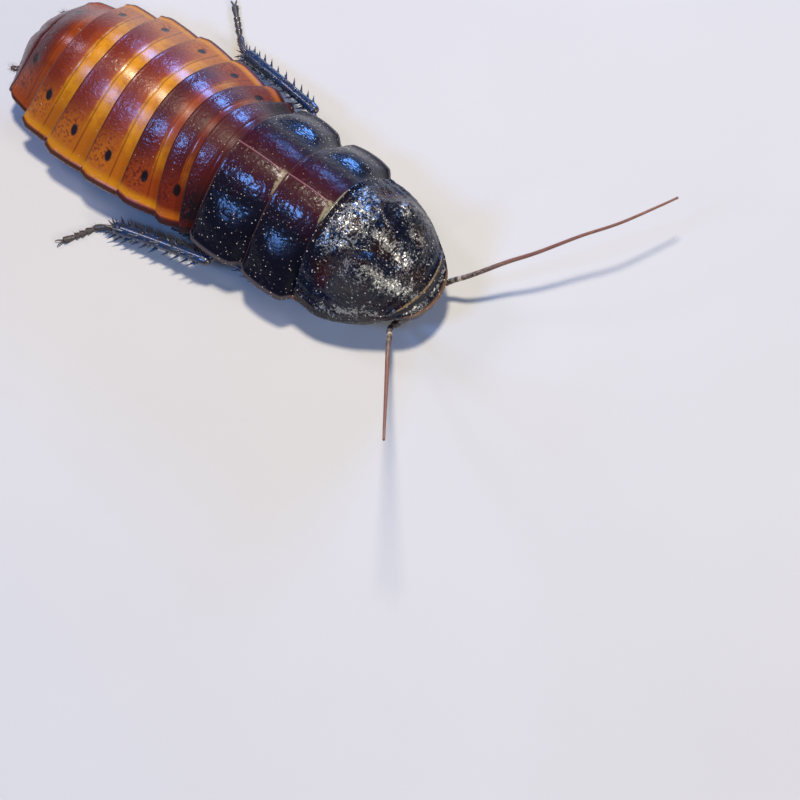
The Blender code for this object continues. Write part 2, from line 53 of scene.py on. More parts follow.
CREST_Z = 15.0
CREST_FALLS_FROM = 45.0
CREST_FALL_POWER = 4.2
ROOF_POWER = 1.3
TAIL_END = 66.9
TAIL_END_Z = 6.2
ABDOMEN_FRONT = 30.0
ABDOMEN_WIDEST = 46.0
ABDOMEN_HALF_WIDTH = 12.5
WAIST_NARROWER = 1.9
MARGIN_Z = 6.6
MARGIN_FALLS_FROM = 38.0
MARGIN_FALL = 1.5
THORAX_BELLY_Z = 4.4
ABDOMEN_DEEPER = 1.4
TAIL_SHALLOWER = 1.5
ABDOMEN_DEEPENS = (35, 42)
TAIL_SHALLOWS_FROM = 57
SHIELD_REAR = 16.6
MESONOTUM_REAR = 23.8
THORAX_END = 34.0
NECK_HALF_WIDTH = 1.5
NECK_HALF_HEIGHT = 1.15
NECK_Z = 4.9
NECK_ASIDE = 0.4
NECK_BENDS_UNTIL = 7.5
NECK_WIDENS = (6.8, 12.0)
NECK_WRINKLE = 0.05
NECK_WRINKLE_RATE = 9.0
SKIN_FRONT = 4.4
SKIN_REAR = TAIL_END - 2.2
SKIN_INSET = 1.3
SKIN_DEPTH = 1.3
SKIN_THORAX_HALF_WIDTH = 9.4
SKIN_BELOW_MARGIN = 0.55
SKIN_ABOVE_BELLY = 0.35
SKIN_DARKENS = (26.0, 28.0)
FLANK_FROM = 0.8
SLEEVE_ROWS = 300
SLEEVE_SIDES = 96
FOLD_DEPTH = 1.1
FOLD_WIDTH = 0.75
# station of each fold and how far it reaches to either side
FOLDS = ((SHIELD_REAR + 0.35, 3.4), (MESONOTUM_REAR + 0.75, 4.2))


def blend(share, first, second):
    return first + share * (second - first)


def part_way(value, start, end):
    return np.clip((value - start) / (end - start), 0, 1)


def smooth_step(value, start, end):
    part = part_way(value, start, end)
    return part * part * (3 - 2 * part)


def hill(distance, width):
    return np.exp(-(distance / width) ** 2)


def points_at(x, station, z):
    return np.stack(np.broadcast_arrays(x, station, z), -1)


def crest_height(station):
    return blend(part_way(station, CREST_FALLS_FROM, TAIL_END) ** CREST_FALL_POWER, CREST_Z, TAIL_END_Z)


def margin_height(station):
    return MARGIN_Z - MARGIN_FALL * part_way(station, MARGIN_FALLS_FROM, TAIL_END) ** 1.4


def belly_height(station):
    lower = ABDOMEN_DEEPER * smooth_step(station, *ABDOMEN_DEEPENS)
    return THORAX_BELLY_Z - lower + TAIL_SHALLOWER * smooth_step(station, TAIL_SHALLOWS_FROM, TAIL_END)


def abdomen_half_width(station):
    ahead = np.clip((ABDOMEN_WIDEST - station) / (ABDOMEN_WIDEST - ABDOMEN_FRONT), 0, 2) ** 1.6
    behind = part_way(station, ABDOMEN_WIDEST, TAIL_END) ** 2.4
    return np.where(station < ABDOMEN_WIDEST, ABDOMEN_HALF_WIDTH - WAIST_NARROWER * ahead,
                    ABDOMEN_HALF_WIDTH * (1 - behind) ** 0.44)


def roof(across):
    """The arch over the back, from 1 on the crest to 0 at the margins."""
    return np.clip(1 - across * across, 0, 1) ** ROOF_POWER


def back_height(across, station):
    return blend(roof(across), margin_height(station), crest_height(station))


class Shape:
    """Points in body millimetres, their faces, and marks that a finish reads at each point."""

    def __init__(self, points, faces, **marks):
        self.points = np.asarray(points, float).reshape(-1, 3)
        self.faces = faces
        self.marks = {name: np.asarray(mark, float).ravel() for name, mark in marks.items()}

    def __add__(self, other):
        marks = {}
        for name in {**self.marks, **other.marks}:
            parts = [shape.marks.get(name, np.zeros(len(shape.points))) for shape in (self, other)]
            marks[name] = np.concatenate(parts)
        shifted = [face + len(self.points) for face in other.faces]
        return Shape(np.concatenate([self.points, other.points]), self.faces + shifted, **marks)

    def mesh(self, name):
        mesh = bpy.data.meshes.new(name)
        mesh.vertices.add(len(self.points))
        mesh.vertices.foreach_set("co", (self.points * MM + ORIGIN).ravel())
        if self.faces:
            corners = np.concatenate([face.ravel() for face in self.faces])
            counts = np.concatenate([np.full(len(face), face.shape[1]) for face in self.faces])
            starts = np.concatenate([[0], np.cumsum(counts)[:-1]])
            mesh.loops.add(len(corners))
            mesh.loops.foreach_set("vertex_index", corners.astype(np.int32))
            mesh.polygons.add(len(counts))
            mesh.polygons.foreach_set("loop_start", starts.astype(np.int32))
            mesh.update(calc_edges=True)
        for mark, values in self.marks.items():
            mesh.attributes.new(mark, "FLOAT", "POINT").data.foreach_set("value", values.astype(np.float32))
        mesh.shade_smooth()
        return mesh


def tube(rings, ends, turned=False, **marks):
    """A closed skin over rings of points in a row, drawn together to a point at each end."""
    rows, sides = rings.shape[:2]
    ring = np.arange(rows * sides).reshape(rows, sides)
    after = np.roll(ring, -1, axis=1)
    quads = np.stack([ring[:-1], ring[1:], after[1:], after[:-1]], -1).reshape(-1, 4)
    first = np.full(sides, rows * sides)
    fans = np.concatenate([np.stack([first, ring[0], after[0]], -1),
                           np.stack([first + 1, after[-1], ring[-1]], -1)])
    faces = [quads, fans]
    if turned:
        faces = [np.roll(face[:, ::-1], 1, axis=1) for face in faces]
    return Shape(np.concatenate([rings.reshape(-1, 3), ends]), faces, **marks)


def node_maths(operation, value_last=False):
    """A method of Value that puts the value and its partners through a Math node."""
    def method(value, *partners):
        terms = (*partners, value) if value_last else (value, *partners)
        return value.nodes("ShaderNodeMath", {"operation": operation}, dict(enumerate(terms)))
    return method


class Value:
    """A node's output that takes part in Python arithmetic."""
    __add__ = __radd__ = node_maths("ADD")
    __mul__ = __rmul__ = node_maths("MULTIPLY")
    __sub__ = node_maths("SUBTRACT")
    __rsub__ = node_maths("SUBTRACT", value_last=True)
    __truediv__ = node_maths("DIVIDE")
    __rtruediv__ = node_maths("DIVIDE", value_last=True)
    __pow__ = node_maths("POWER")
    __abs__ = node_maths("ABSOLUTE")
    at_most = node_maths("MINIMUM")

    def __init__(self, nodes, socket):
        self.nodes = nodes
        self.socket = socket

    def rise(self, start, end):
        """0 before start and 1 after end, smoothly. An end below the start turns it round."""
        return self.nodes("ShaderNodeMapRange", {"interpolation_type": "SMOOTHSTEP"},
                          {"Value": self, "From Min": start, "From Max": end})


class Nodes:
    """The nodes of one material or tree. A call adds a node: its type, its settings, its inputs."""

    def __init__(self, tree):
        self.tree = tree

    def __call__(self, kind, settings, inputs, output=0):
        node = self.tree.nodes.new(kind)
        for name, value in settings.items():
            setattr(node, name, value)
        for name, value in inputs.items():
            socket = node.inputs[name]
            if isinstance(value, Value):
                self.tree.links.new(value.socket, socket)
            else:
                socket.default_value = (*value, 1.0) if socket.type == "RGBA" else value
        return Value(self, node.outputs[output]) if node.outputs else None

    def layers(self, colour, *coats):
        """A colour with others over it, each given as the share that it covers and the colour."""
        for share, coat in coats:
            colour = self("ShaderNodeMix", {"data_type": "RGBA"}, {0: share, 6: colour, 7: coat}, 2)
        return colour

    def vector(self, *parts):
        return self("ShaderNodeCombineXYZ", {}, dict(enumerate(parts)))

    def mark(self, name):
        return self("ShaderNodeAttribute", {"attribute_name": name}, {}, "Fac")

    def place(self, stretch=(1, 1, 1)):
        """Where a point lies, in millimetres."""
        spot = self("ShaderNodeTexCoord", {}, {}, "Object")
        scale = tuple(1 / MM / part for part in stretch)
        return self("ShaderNodeMapping", {}, {"Vector": spot, "Scale": scale})

    def noise(self, size, detail=3.0, stretch=(1, 1, 1)):
        return self("ShaderNodeTexNoise", {},
                    {"Vector": self.place(stretch), "Scale": 1 / size, "Detail": detail})

    def cells(self, size, output="Distance"):
        return self("ShaderNodeTexVoronoi", {}, {"Vector": self.place(), "Scale": 1 / size}, output)

    def specks(self, spacing, radius, share):
        """Round specks, faint to bright; share says how many of the places that could hold one do."""
        dice = self("ShaderNodeSeparateXYZ", {}, {0: self.cells(spacing, "Color")}, 0)
        dots = self.cells(spacing).rise(radius / spacing, radius / spacing * 0.6)
        return dots * dice.rise(1 - share, 1.0)


def finish(name, paint, **constants):
    """A surface from paint(nodes): its colour, roughness, height in millimetres and any further inputs."""
    material = bpy.data.materials.new(name)
    material.use_nodes = True
    material.node_tree.nodes.clear()
    nodes = Nodes(material.node_tree)
    colour, roughness, height, *further = paint(nodes)
    normal = nodes("ShaderNodeBump", {}, {"Strength": 1.0, "Distance": MM, "Height": height}, "Normal")
    inputs = {key.replace("_", " "): value for key, value in constants.items()}
    inputs.update({"Base Color": colour, "Roughness": roughness, "Normal": normal})
    for varying in further:
        inputs.update(varying)
    shader = nodes("ShaderNodeBsdfPrincipled", {}, inputs, "BSDF")
    nodes("ShaderNodeOutputMaterial", {}, {"Surface": shader})
    return material


def work_over(item, tree, sizes):
    """Puts a mesh through a node tree and keeps the plain result."""
    step = item.modifiers.new(tree.name, "NODES")
    step.node_group = tree
    for socket in tree.interface.items_tree:
        if socket.in_out == "INPUT" and socket.name in sizes:
            step[socket.identifier] = sizes[socket.name]
    graph = bpy.context.evaluated_depsgraph_get()
    worked = item.evaluated_get(graph)
    plain = bpy.data.meshes.new_from_object(worked, preserve_all_data_layers=True, depsgraph=graph)
    item.modifiers.remove(step)
    item.data = plain


def piece(name, shape, material, node=None, detail=None):
    """A finished piece on the body. Detail is a node tree that works over its mesh, and its sizes."""
    item = bpy.data.objects.new(name, shape.mesh(name))
    bpy.context.scene.collection.objects.link(item)
    item.data.materials.append(material)
    if detail:
        tree, sizes = detail
        work_over(item, tree, {"Material": material, **sizes})
    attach(item, "root")
    if node:
        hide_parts(node)


def paint_skin(nodes):
    blotch = nodes.noise(1.1)
    creases = nodes.noise(0.22, 4.0, (6, 1, 1))
    # The dark layer is painted shade: the sleeve darkens along the flanks and under the plates.
    colour = nodes.layers((0.60, 0.47, 0.30), (blotch.rise(0.35, 0.7), (0.33, 0.22, 0.13)),
                          (nodes.mark("flank").rise(0.0, 1.0), (0.10, 0.045, 0.028)))
    return colour, 0.42 + 0.2 * blotch, 0.08 * creases


skin_finish = finish("soft_skin", paint_skin, Subsurface_Weight=0.15, Subsurface_Scale=0.6 * MM)

station = np.linspace(SKIN_FRONT, SKIN_REAR, SLEEVE_ROWS)[:, None]
turn = np.linspace(0, 2 * math.pi, SLEEVE_SIDES, endpoint=False)[None]
across = np.cos(turn)
arch = np.abs(np.sin(turn))
trunk = smooth_step(station, *NECK_WIDENS)
trunk_half_width = np.where(station < THORAX_END, SKIN_THORAX_HALF_WIDTH,
                            abdomen_half_width(station) - SKIN_INSET)
half_width = blend(trunk, NECK_HALF_WIDTH, trunk_half_width)
x = across * half_width
depth = SKIN_DEPTH
for fold_station, fold_reach in FOLDS:
    depth = depth - (SKIN_DEPTH - FOLD_DEPTH) * hill(station - fold_station, FOLD_WIDTH) * hill(x, fold_reach)
margin = blend(trunk, NECK_Z, margin_height(station) - SKIN_BELOW_MARGIN)
back = back_height(x / (half_width + SKIN_INSET), station)
up = blend(trunk, NECK_HALF_HEIGHT, back - depth - margin)
down = blend(trunk, NECK_HALF_HEIGHT, margin - belly_height(station) - SKIN_ABOVE_BELLY)
upper = margin + np.where(trunk > 0.999, up, up * arch ** (1 + 1.6 * trunk))
height = np.where(np.sin(turn) > 0, upper, margin - down * arch ** 0.8)
height += NECK_WRINKLE * np.sin(station * NECK_WRINKLE_RATE) * (1 - trunk)
x = x - NECK_ASIDE * smooth_step(station, NECK_BENDS_UNTIL, SKIN_FRONT)
rings = points_at(x, station, height)
# Painted shade: the skin is darkened along the flanks and from under the metanotum back, where the plates
# cover it.
shaded = np.maximum((np.abs(across) > FLANK_FROM) * trunk, smooth_step(station, *SKIN_DARKENS))
sleeve = tube(rings, rings[[0, -1]].mean(1), flank=np.append(shaded, (0, 1)))
piece("soft_skin", sleeve, skin_finish, "neck")

# Shield. The pronotum is one thick plate of black horn over the head, with two blunt humps, a dished
# front, a hollow behind each hump and a golden rim over a short front lip. Coarse grains and wrinkles
# cover it, both raised in the mesh, and pale metallic patches over them are painted glints of light.
SHIELD_HALF_WIDTH = 10.25
SHIELD_WIDEST = 0.78
SHIELD_THICK = 0.6
RIM_HALF_WIDTH = 5.2
RIM_Z = 7.7
RIM_CURVE = 0.075
LIP_LENGTH = 1.1
LIP_DROP = 1.1
FRONT_RISES_OVER = 3.6
HUMP_X = 5.3
HUMP_STATION = 8.9
HUMP_HEIGHT = 3.0
HUMP_RADIUS = 2.3
HOLLOW_X = 6.6
HOLLOW_STATION = 13.2
HOLLOW_DEPTH = 1.5
DISH_STATION = 7.6
DISH_DEPTH = 1.7
CREASE_DEPTH = 0.9
KEEL_HEIGHT = 0.2
KEEL_ALONG = (9.5, 12.0, 14.0, 16.0)
BRIM_WIDTH = 1.9
BRIM_GROOVE_DEPTH = 0.3
RIM_ROLL_HEIGHT = 0.16
RIM_GROOVE_DEPTH = 0.2
REAR_ROLL_HEIGHT = 0.10
REAR_GROOVE_DEPTH = 0.22
SIDE_DROP = 0.8
EDGE_ROUND = 0.28
VAULT_HEIGHT = 2.0
SHIELD_GRID = (352, 258)
SHIELD_UNDER_GRID = (80, 60)


def plateau(value, start, full, fading, end):
    return smooth_step(value, start, full) * smooth_step(value, end, fading)


def crowded(count, power=1.4):
    """From -1 to 1, closer together towards both ends."""
    even = np.linspace(-1, 1, count)
    return np.sign(even) * (1 - (1 - np.abs(even)) ** power)


def crowded_part(count, power=1.4):
    """From 0 to 1, closer together towards both ends."""
    return (crowded(count, power) + 1) / 2


def rounding(distance, radius):
    """How far a surface drops towards a rounded edge."""
    part = np.clip(1 - distance / radius, 0, 1)
    return radius * (1 - np.sqrt(1 - part * part))


def zip_edges(a, b):
    """Triangles between two rows of points that run side by side and may differ in number."""
    faces, i, j = [], 0, 0
    while i < len(a) - 1 or j < len(b) - 1:
        if j == len(b) - 1 or (i < len(a) - 1 and (i + 1) / (len(a) - 1) <= (j + 1) / (len(b) - 1)):
            faces.append((a[i], a[i + 1], b[j]))
            i += 1
        else:
            faces.append((a[i], b[j + 1], b[j]))
            j += 1
    return np.array(faces)


def shell(upper, lower, **marks):
    """A closed plate between two grids of points, with marks for the upper one. Rows run tailward and
    columns to the left."""
    faces, grids, start = [], [], 0
    for grid, order in ((upper, 1), (lower, -1)):
        index = start + np.arange(grid[..., 0].size).reshape(grid.shape[:2])
        quads = np.stack([index[:-1, :-1], index[:-1, 1:], index[1:, 1:], index[1:, :-1]], -1)
        faces.append(quads.reshape(-1, 4)[:, ::order])
        grids.append(index)
        start += index.size
    top, low = grids
    faces += [zip_edges(low[0], top[0]), zip_edges(low[-1, ::-1], top[-1, ::-1]),
              zip_edges(low[:, -1], top[:, -1]), zip_edges(low[::-1, 0], top[::-1, 0])]
    points = np.concatenate([upper.reshape(-1, 3), lower.reshape(-1, 3)])
    blank = np.zeros(low.size)
    return Shape(points, faces, **{name: np.append(mark, blank) for name, mark in marks.items()})


def new_tree(name, *inputs):
    """An empty node tree with a geometry input, further named inputs and a material."""
    tree = bpy.data.node_groups.new(name, "GeometryNodeTree")
    kinds = {"Geometry": "Geometry", **dict.fromkeys(inputs, "Float"), "Material": "Material"}
    for label, kind in kinds.items():
        tree.interface.new_socket(label, in_out="INPUT", socket_type=f"NodeSocket{kind}")
    tree.interface.new_socket("Geometry", in_out="OUTPUT", socket_type="NodeSocketGeometry")
    nodes = Nodes(tree)
    entry = tree.nodes.new("NodeGroupInput")
    return tree, nodes, {socket.name: Value(nodes, socket) for socket in entry.outputs if socket.name}


def end_tree(nodes, geometry, material):
    real = nodes("GeometryNodeRealizeInstances", {}, {"Geometry": geometry})
    done = nodes("GeometryNodeSetMaterial", {}, {"Geometry": real, "Material": material})
    nodes("NodeGroupOutput", {}, {"Geometry": done})


def read_marks(nodes, *names):
    kind = "GeometryNodeInputNamedAttribute"
    return [nodes(kind, {"data_type": "FLOAT"}, {"Name": name}) for name in names]


def make_grain_tree():
    """Raises grains and wrinkles where the marks grain and wrinkle say, and marks each grain's tip."""
    tree, nodes, given = new_tree("horn_grain", "Grain Size", "Grain Height", "Wrinkle Size",
                                  "Wrinkle Height")
    spot = nodes("GeometryNodeInputPosition", {}, {})
    grained, wrinkled = read_marks(nodes, "grain", "wrinkle")
    cell = nodes("ShaderNodeTexVoronoi", {}, {"Vector": spot, "Scale": 1 / given["Grain Size"]}, "Distance")
    size = nodes("ShaderNodeTexNoise", {},
                 {"Vector": spot, "Scale": 0.5 / given["Grain Size"], "Detail": 1.0})
    tip = cell.rise(0.62, 0.12) * size.rise(0.35, 0.65) * grained
    folds = nodes("ShaderNodeTexNoise", {}, {"Vector": spot, "Scale": 1 / given["Wrinkle Size"],
                                             "Detail": 3.0, "Distortion": 0.6})
    lift = tip * given["Grain Height"] + (folds - 0.5) * given["Wrinkle Height"] * wrinkled
    normal = nodes("GeometryNodeInputNormal", {}, {})
    offset = nodes("ShaderNodeVectorMath", {"operation": "SCALE"}, {0: normal, "Scale": lift})
    marked = nodes("GeometryNodeStoreNamedAttribute", {"data_type": "FLOAT", "domain": "POINT"},
                   {"Geometry": given["Geometry"], "Name": "tip", "Value": tip})
    moved = nodes("GeometryNodeSetPosition", {}, {"Geometry": marked, "Offset": offset})
    end_tree(nodes, moved, given["Material"])
    return tree


grain_tree = make_grain_tree()


def grain(size, height, wrinkle_size, wrinkle_height):
    """The tree and its inputs, from millimetres."""
    return grain_tree, {"Grain Size": size * MM, "Grain Height": height * MM,
                        "Wrinkle Size": wrinkle_size * MM, "Wrinkle Height": wrinkle_height * MM}


def whole_grid(columns, rows):
    """A grid over a whole plate: across from -1 to 1 and along from 0 to 1."""
    return np.meshgrid(crowded(columns), crowded_part(rows))


def shield_place(across, along):
    narrower = (SHIELD_HALF_WIDTH - RIM_HALF_WIDTH) * part_way(along, SHIELD_WIDEST, 0) ** 1.6
    half_width = SHIELD_HALF_WIDTH - narrower - 0.25 * part_way(along, SHIELD_WIDEST, 1) ** 2
    corner = 0.6 * part_way(np.abs(across), 0.6, 1) ** 2
    front = RIM_STATION + RIM_CURVE * (across * RIM_HALF_WIDTH) ** 2 + corner
    rear = SHIELD_REAR - 0.9 * np.abs(across) ** 3
    return across * half_width, blend(along, front, rear), half_width, rear - front


def shield_edge(across, along):
    """Height of the edge, and how far the sides and the front lip hang below it."""
    edge = RIM_Z - 1.2 * smooth_step(along, 0.0, 0.3) + 0.4 * smooth_step(along, 0.6, 1.0)
    run = (SHIELD_REAR - RIM_STATION) * along
    lip = LIP_DROP * smooth_step(run, 1.5 * LIP_LENGTH, 0.0) * (1 - 0.5 * across ** 2)
    return edge, SIDE_DROP * across ** 4 * plateau(along, 0.0, 0.15, 0.7, 1.0) + lip


def shield_top(across, along):
    """The upper surface of the shield and the marks of its rim, seams, hollows and painted glints."""
    x, station, half_width, length = shield_place(across, along)
    from_middle = np.abs(x)
    to_side = (1 - np.abs(across)) * half_width
    to_front = along * length
    to_rear = (1 - along) * length
    to_rim = np.minimum(to_side, to_front - LIP_LENGTH)

    edge, drop = shield_edge(across, along)
    run = np.clip((SHIELD_REAR - RIM_STATION) * along - LIP_LENGTH, 0, None)
    crest = RIM_Z + (CREST_Z - RIM_Z) * (1 - np.exp(-run / FRONT_RISES_OVER))
    z = blend(np.clip(1 - np.abs(across) ** 2.3, 0, 1), edge, crest) - drop
    hump = hill(from_middle - HUMP_X, HUMP_RADIUS) * hill(station - HUMP_STATION, HUMP_RADIUS * 1.1)
    dish = hill(x, 2.8) * hill(station - DISH_STATION, 2.7)
    hollow = hill(from_middle - HOLLOW_X, 1.9) * hill(station - HOLLOW_STATION, 1.5)
    crease = hill(from_middle - 2.8 - 0.3 * (station - 11), 1.0) * hill(station - 11.2, 1.9)
    keel = hill(x, 0.9) * plateau(station, *KEEL_ALONG)
    z += HUMP_HEIGHT * hump + KEEL_HEIGHT * keel
    z -= DISH_DEPTH * dish + HOLLOW_DEPTH * hollow + CREASE_DEPTH * crease
    z += RIM_ROLL_HEIGHT * hill(to_rim - 0.42, 0.2) - RIM_GROOVE_DEPTH * hill(to_rim - 1.0, 0.35)
    z -= BRIM_GROOVE_DEPTH * hill(to_rim - BRIM_WIDTH, 0.5)
    z += REAR_ROLL_HEIGHT * hill(to_rear - 0.3, 0.2) - REAR_GROOVE_DEPTH * hill(to_rear - 1.1, 0.5)
    z -= rounding(np.minimum(np.minimum(to_side, to_front), to_rear), EDGE_ROUND)

    disc = smooth_step(np.minimum(to_rim, to_rear), BRIM_WIDTH - 0.5, BRIM_WIDTH + 0.6)
    disc *= 1 - 0.6 * smooth_step(from_middle, 6.4, 7.6)
    # Painted highlight: pale metallic glint patches on the table, the keel, the hump tops, the front slopes,
    # the right brim and the lip.
    table = plateau(station, 9.8, 11.2, 15.1, 15.9) * smooth_step(from_middle, 6.0, 4.7)
    table *= smooth_step(from_middle - 1.15 * (station - 9.9), 1.3, 0.2)
    keel_glint = hill(x - 0.3, 1.1) * plateau(station, 3.6, 5.5, 10.5, 12.0)
    tops = hill(x - 4.6, 1.1) * hill(station - 9.0, 1.5) + hill(x + 5.6, 1.0) * hill(station - 10.3, 1.4)
    slopes = hill(from_middle - 4.8 + 0.6 * (8 - station), 1.25) * smooth_step(station, 9.5, 8.0)
    slopes *= 1 - 0.6 * smooth_step(x, 0.3, 1.8)
    ashen = np.max([0.62 * table, 0.8 * keel_glint, 0.75 * tops, 0.9 * slopes], axis=0)
    ashen *= smooth_step(to_rim, 0.7, 1.5)
    brim = hill(to_side - 0.7, 0.45) * smooth_step(-x, 4.5, 6.5) * smooth_step(station, 14.0, 11.5)
    in_front = smooth_step(across ** 2, 0.95, 0.45)
    ashen = np.max([ashen, 0.75 * brim, 0.5 * in_front * hill(to_front - 0.85, 0.22)], axis=0)
    return points_at(x, station, z), {
        "rim": hill(to_front - LIP_LENGTH - 0.38, 0.11) * in_front,
        "lip": smooth_step(to_front, 0.5, 0.12) * in_front,
        "rear": hill(to_rear - 0.2, 0.2) * smooth_step(np.abs(across), 0.4, 0.15),
        "hollow": hollow, "disc": disc, "ashen": ashen,
        "grain": 0.55 + 0.45 * disc, "wrinkle": 0.2 + 0.27 * disc + 0.53 * ashen}


def shield_under(across, along):
    x, station, half_width, length = shield_place(across, along)
    edge, drop = shield_edge(across, along)
    vault = VAULT_HEIGHT * (1 - across ** 2) * smooth_step(along, 0.0, 0.3)
    to_edge = np.minimum((1 - np.abs(across)) * half_width, np.minimum(along, 1 - along) * length)
    return points_at(x, station, edge - SHIELD_THICK - drop + vault + rounding(to_edge, 0.2))


def paint_shield(nodes):
    disc, glint_mark = nodes.mark("disc"), nodes.mark("ashen")
    cloud, fine_noise, patch, crumb = (nodes.noise(size, 2.0) for size in (2.6, 0.16, 1.1, 0.3))
    # Painted highlight: the glint mark, broken up by noise and with pale grain tips, turns the black horn
    # pale and metallic.
    ashen = (glint_mark + (patch - 0.5) * 1.8 + (crumb - 0.5) * 2.4 - 0.45).rise(0.0, 0.55)
    ashen = (ashen * (0.3 + 0.7 * fine_noise.rise(0.38, 0.6)) + disc * nodes.mark("tip") * 0.06).at_most(1.0)
    colour = nodes.layers(
        (0.002, 0.004, 0.012),
        (cloud.rise(0.42, 0.7), (0.010, 0.004, 0.005)),
        (nodes.mark("hollow").rise(0.3, 1.0) * 0.8, (0.028, 0.004, 0.004)),
        (ashen, (0.44, 0.43, 0.40)),
        (nodes.mark("rim").rise(0.35, 0.9) * crumb.rise(0.3, 0.5), (0.26, 0.17, 0.075)),
        (nodes.mark("lip") * 0.9, (0.14, 0.075, 0.040)),
        (nodes.mark("rear").rise(0.3, 0.9) * 0.7, (0.25, 0.21, 0.13)),
        # Pale specks: partly dust, partly painted glints on the granules.
        (nodes.specks(0.55, 0.11, 0.9) * 0.9, (0.60, 0.55, 0.50)))
    relief = 0.02 * nodes.noise(0.13, 2.0) * (0.25 + disc) + 0.05 * crumb * glint_mark
    return colour, 0.2 + 0.12 * fine_noise + 0.06 * glint_mark, relief, {"Metallic": ashen * 0.9}


shield_finish = finish("black_shield_horn", paint_shield, Coat_Weight=0.1, Coat_Roughness=0.2, IOR=1.42,
                       Specular_IOR_Level=0.35)
top, marks = shield_top(*whole_grid(*SHIELD_GRID))
under = shield_under(*whole_grid(*SHIELD_UNDER_GRID))
piece("shield", shell(top, under, **marks), shield_finish, "pronotum",
      grain(0.3, 0.12, 0.75, 0.46))

# Back plates. Nine arched plates of horn lie over the body like shingles, each springing from under the
# one ahead of it. A plate has a smooth strip in front, a fine line, and a grained field that rises to
# its rolled hind edge. Two sunken spots mark each plate of the abdomen.
PLATE_STEP = 0.42
PLATE_THICK = 0.3
FLANGE_THICK = 0.36
PLATE_UNDERLAP = 1.0
PLATE_TOOTH = 0.25
PLATE_ROLL_HEIGHT = 0.06
PLATE_SIDE_ROLL_HEIGHT = 0.07
FIELD_SWELL = 0.12
PLATE_COLUMNS = 440
PLATE_ROWS = 64
THORAX_ROWS = 90
LOBE_HEIGHT = 0.8
VALLEY_DEPTH = 0.3
SPOT_HALF_WIDTH = 0.62
SPOT_HALF_LENGTH = 0.5
SPOT_DEPTH = 0.1
LINE_DEPTH = 0.04
MIDRIB_HEIGHT = 0.07
AMBER = (0.48, 0.185, 0.004)
ORANGE = (0.34, 0.090, 0.005)
RUST = (0.22, 0.036, 0.005)
BRICK = (0.125, 0.015, 0.005)
OXBLOOD = (0.052, 0.006, 0.005)
DUSK = (0.060, 0.017, 0.017)
PITCH = (0.008, 0.005, 0.007)
# name, hind edge on the crest, how far its ends sweep back and the power of that sweep
BACK_PLATES = (
    ("mesonotum", MESONOTUM_REAR, 0.0, 2.0), ("metanotum", 31.7, 0.3, 2.0), ("tergite_1", 35.1, -2.0, 3.0),
    ("tergite_2", 38.6, -2.0, 3.0), ("tergite_3", 42.8, 0.2, 2.0), ("tergite_4", 47.9, 1.2, 2.0),
    ("tergite_5", 53.0, 2.5, 1.6), ("tergite_6", 58.2, 2.3, 1.6), ("tergite_7", 63.0, 1.7, 1.6))
# half width in front and behind, and how far the side bulges between them
THORAX_WIDTHS = {"mesonotum": (10.9, 11.1, 0.7), "metanotum": (11.1, 11.3, 0.6)}
# x and station of the left spot
SPOTS = {"tergite_2": (8.2, 35.5), "tergite_3": (9.0, 40.2), "tergite_4": (9.4, 45.9),
         "tergite_5": (9.1, 51.8), "tergite_6": (7.3, 57.4), "tergite_7": (4.2, 62.2)}
# colours of the front strip at its sides and on the crest, of the field, its rear and its sides; where
# the line runs, as a share of the length; how dull the crest is
PLATE_LOOKS = {
    "tergite_1": (OXBLOOD, OXBLOOD, OXBLOOD, OXBLOOD, PITCH, 0.2, 0.14),
    "tergite_2": (ORANGE, BRICK, OXBLOOD, OXBLOOD, BRICK, 0.24, 0.14),
    "tergite_3": (AMBER, RUST, BRICK, OXBLOOD, RUST, 0.27, 0.12),
    "tergite_4": (AMBER, AMBER, RUST, BRICK, ORANGE, 0.3, 0.04),
    "tergite_5": (AMBER, AMBER, RUST, BRICK, ORANGE, 0.33, 0.0),
    "tergite_6": (AMBER, AMBER, RUST, BRICK, ORANGE, 0.35, 0.0),
    "tergite_7": (RUST, RUST, BRICK, DUSK, RUST, 0.3, 0.0)}


def plate_edge(crest, sweep, power, half_width):
    return lambda x: crest + sweep * np.abs(x / half_width) ** power


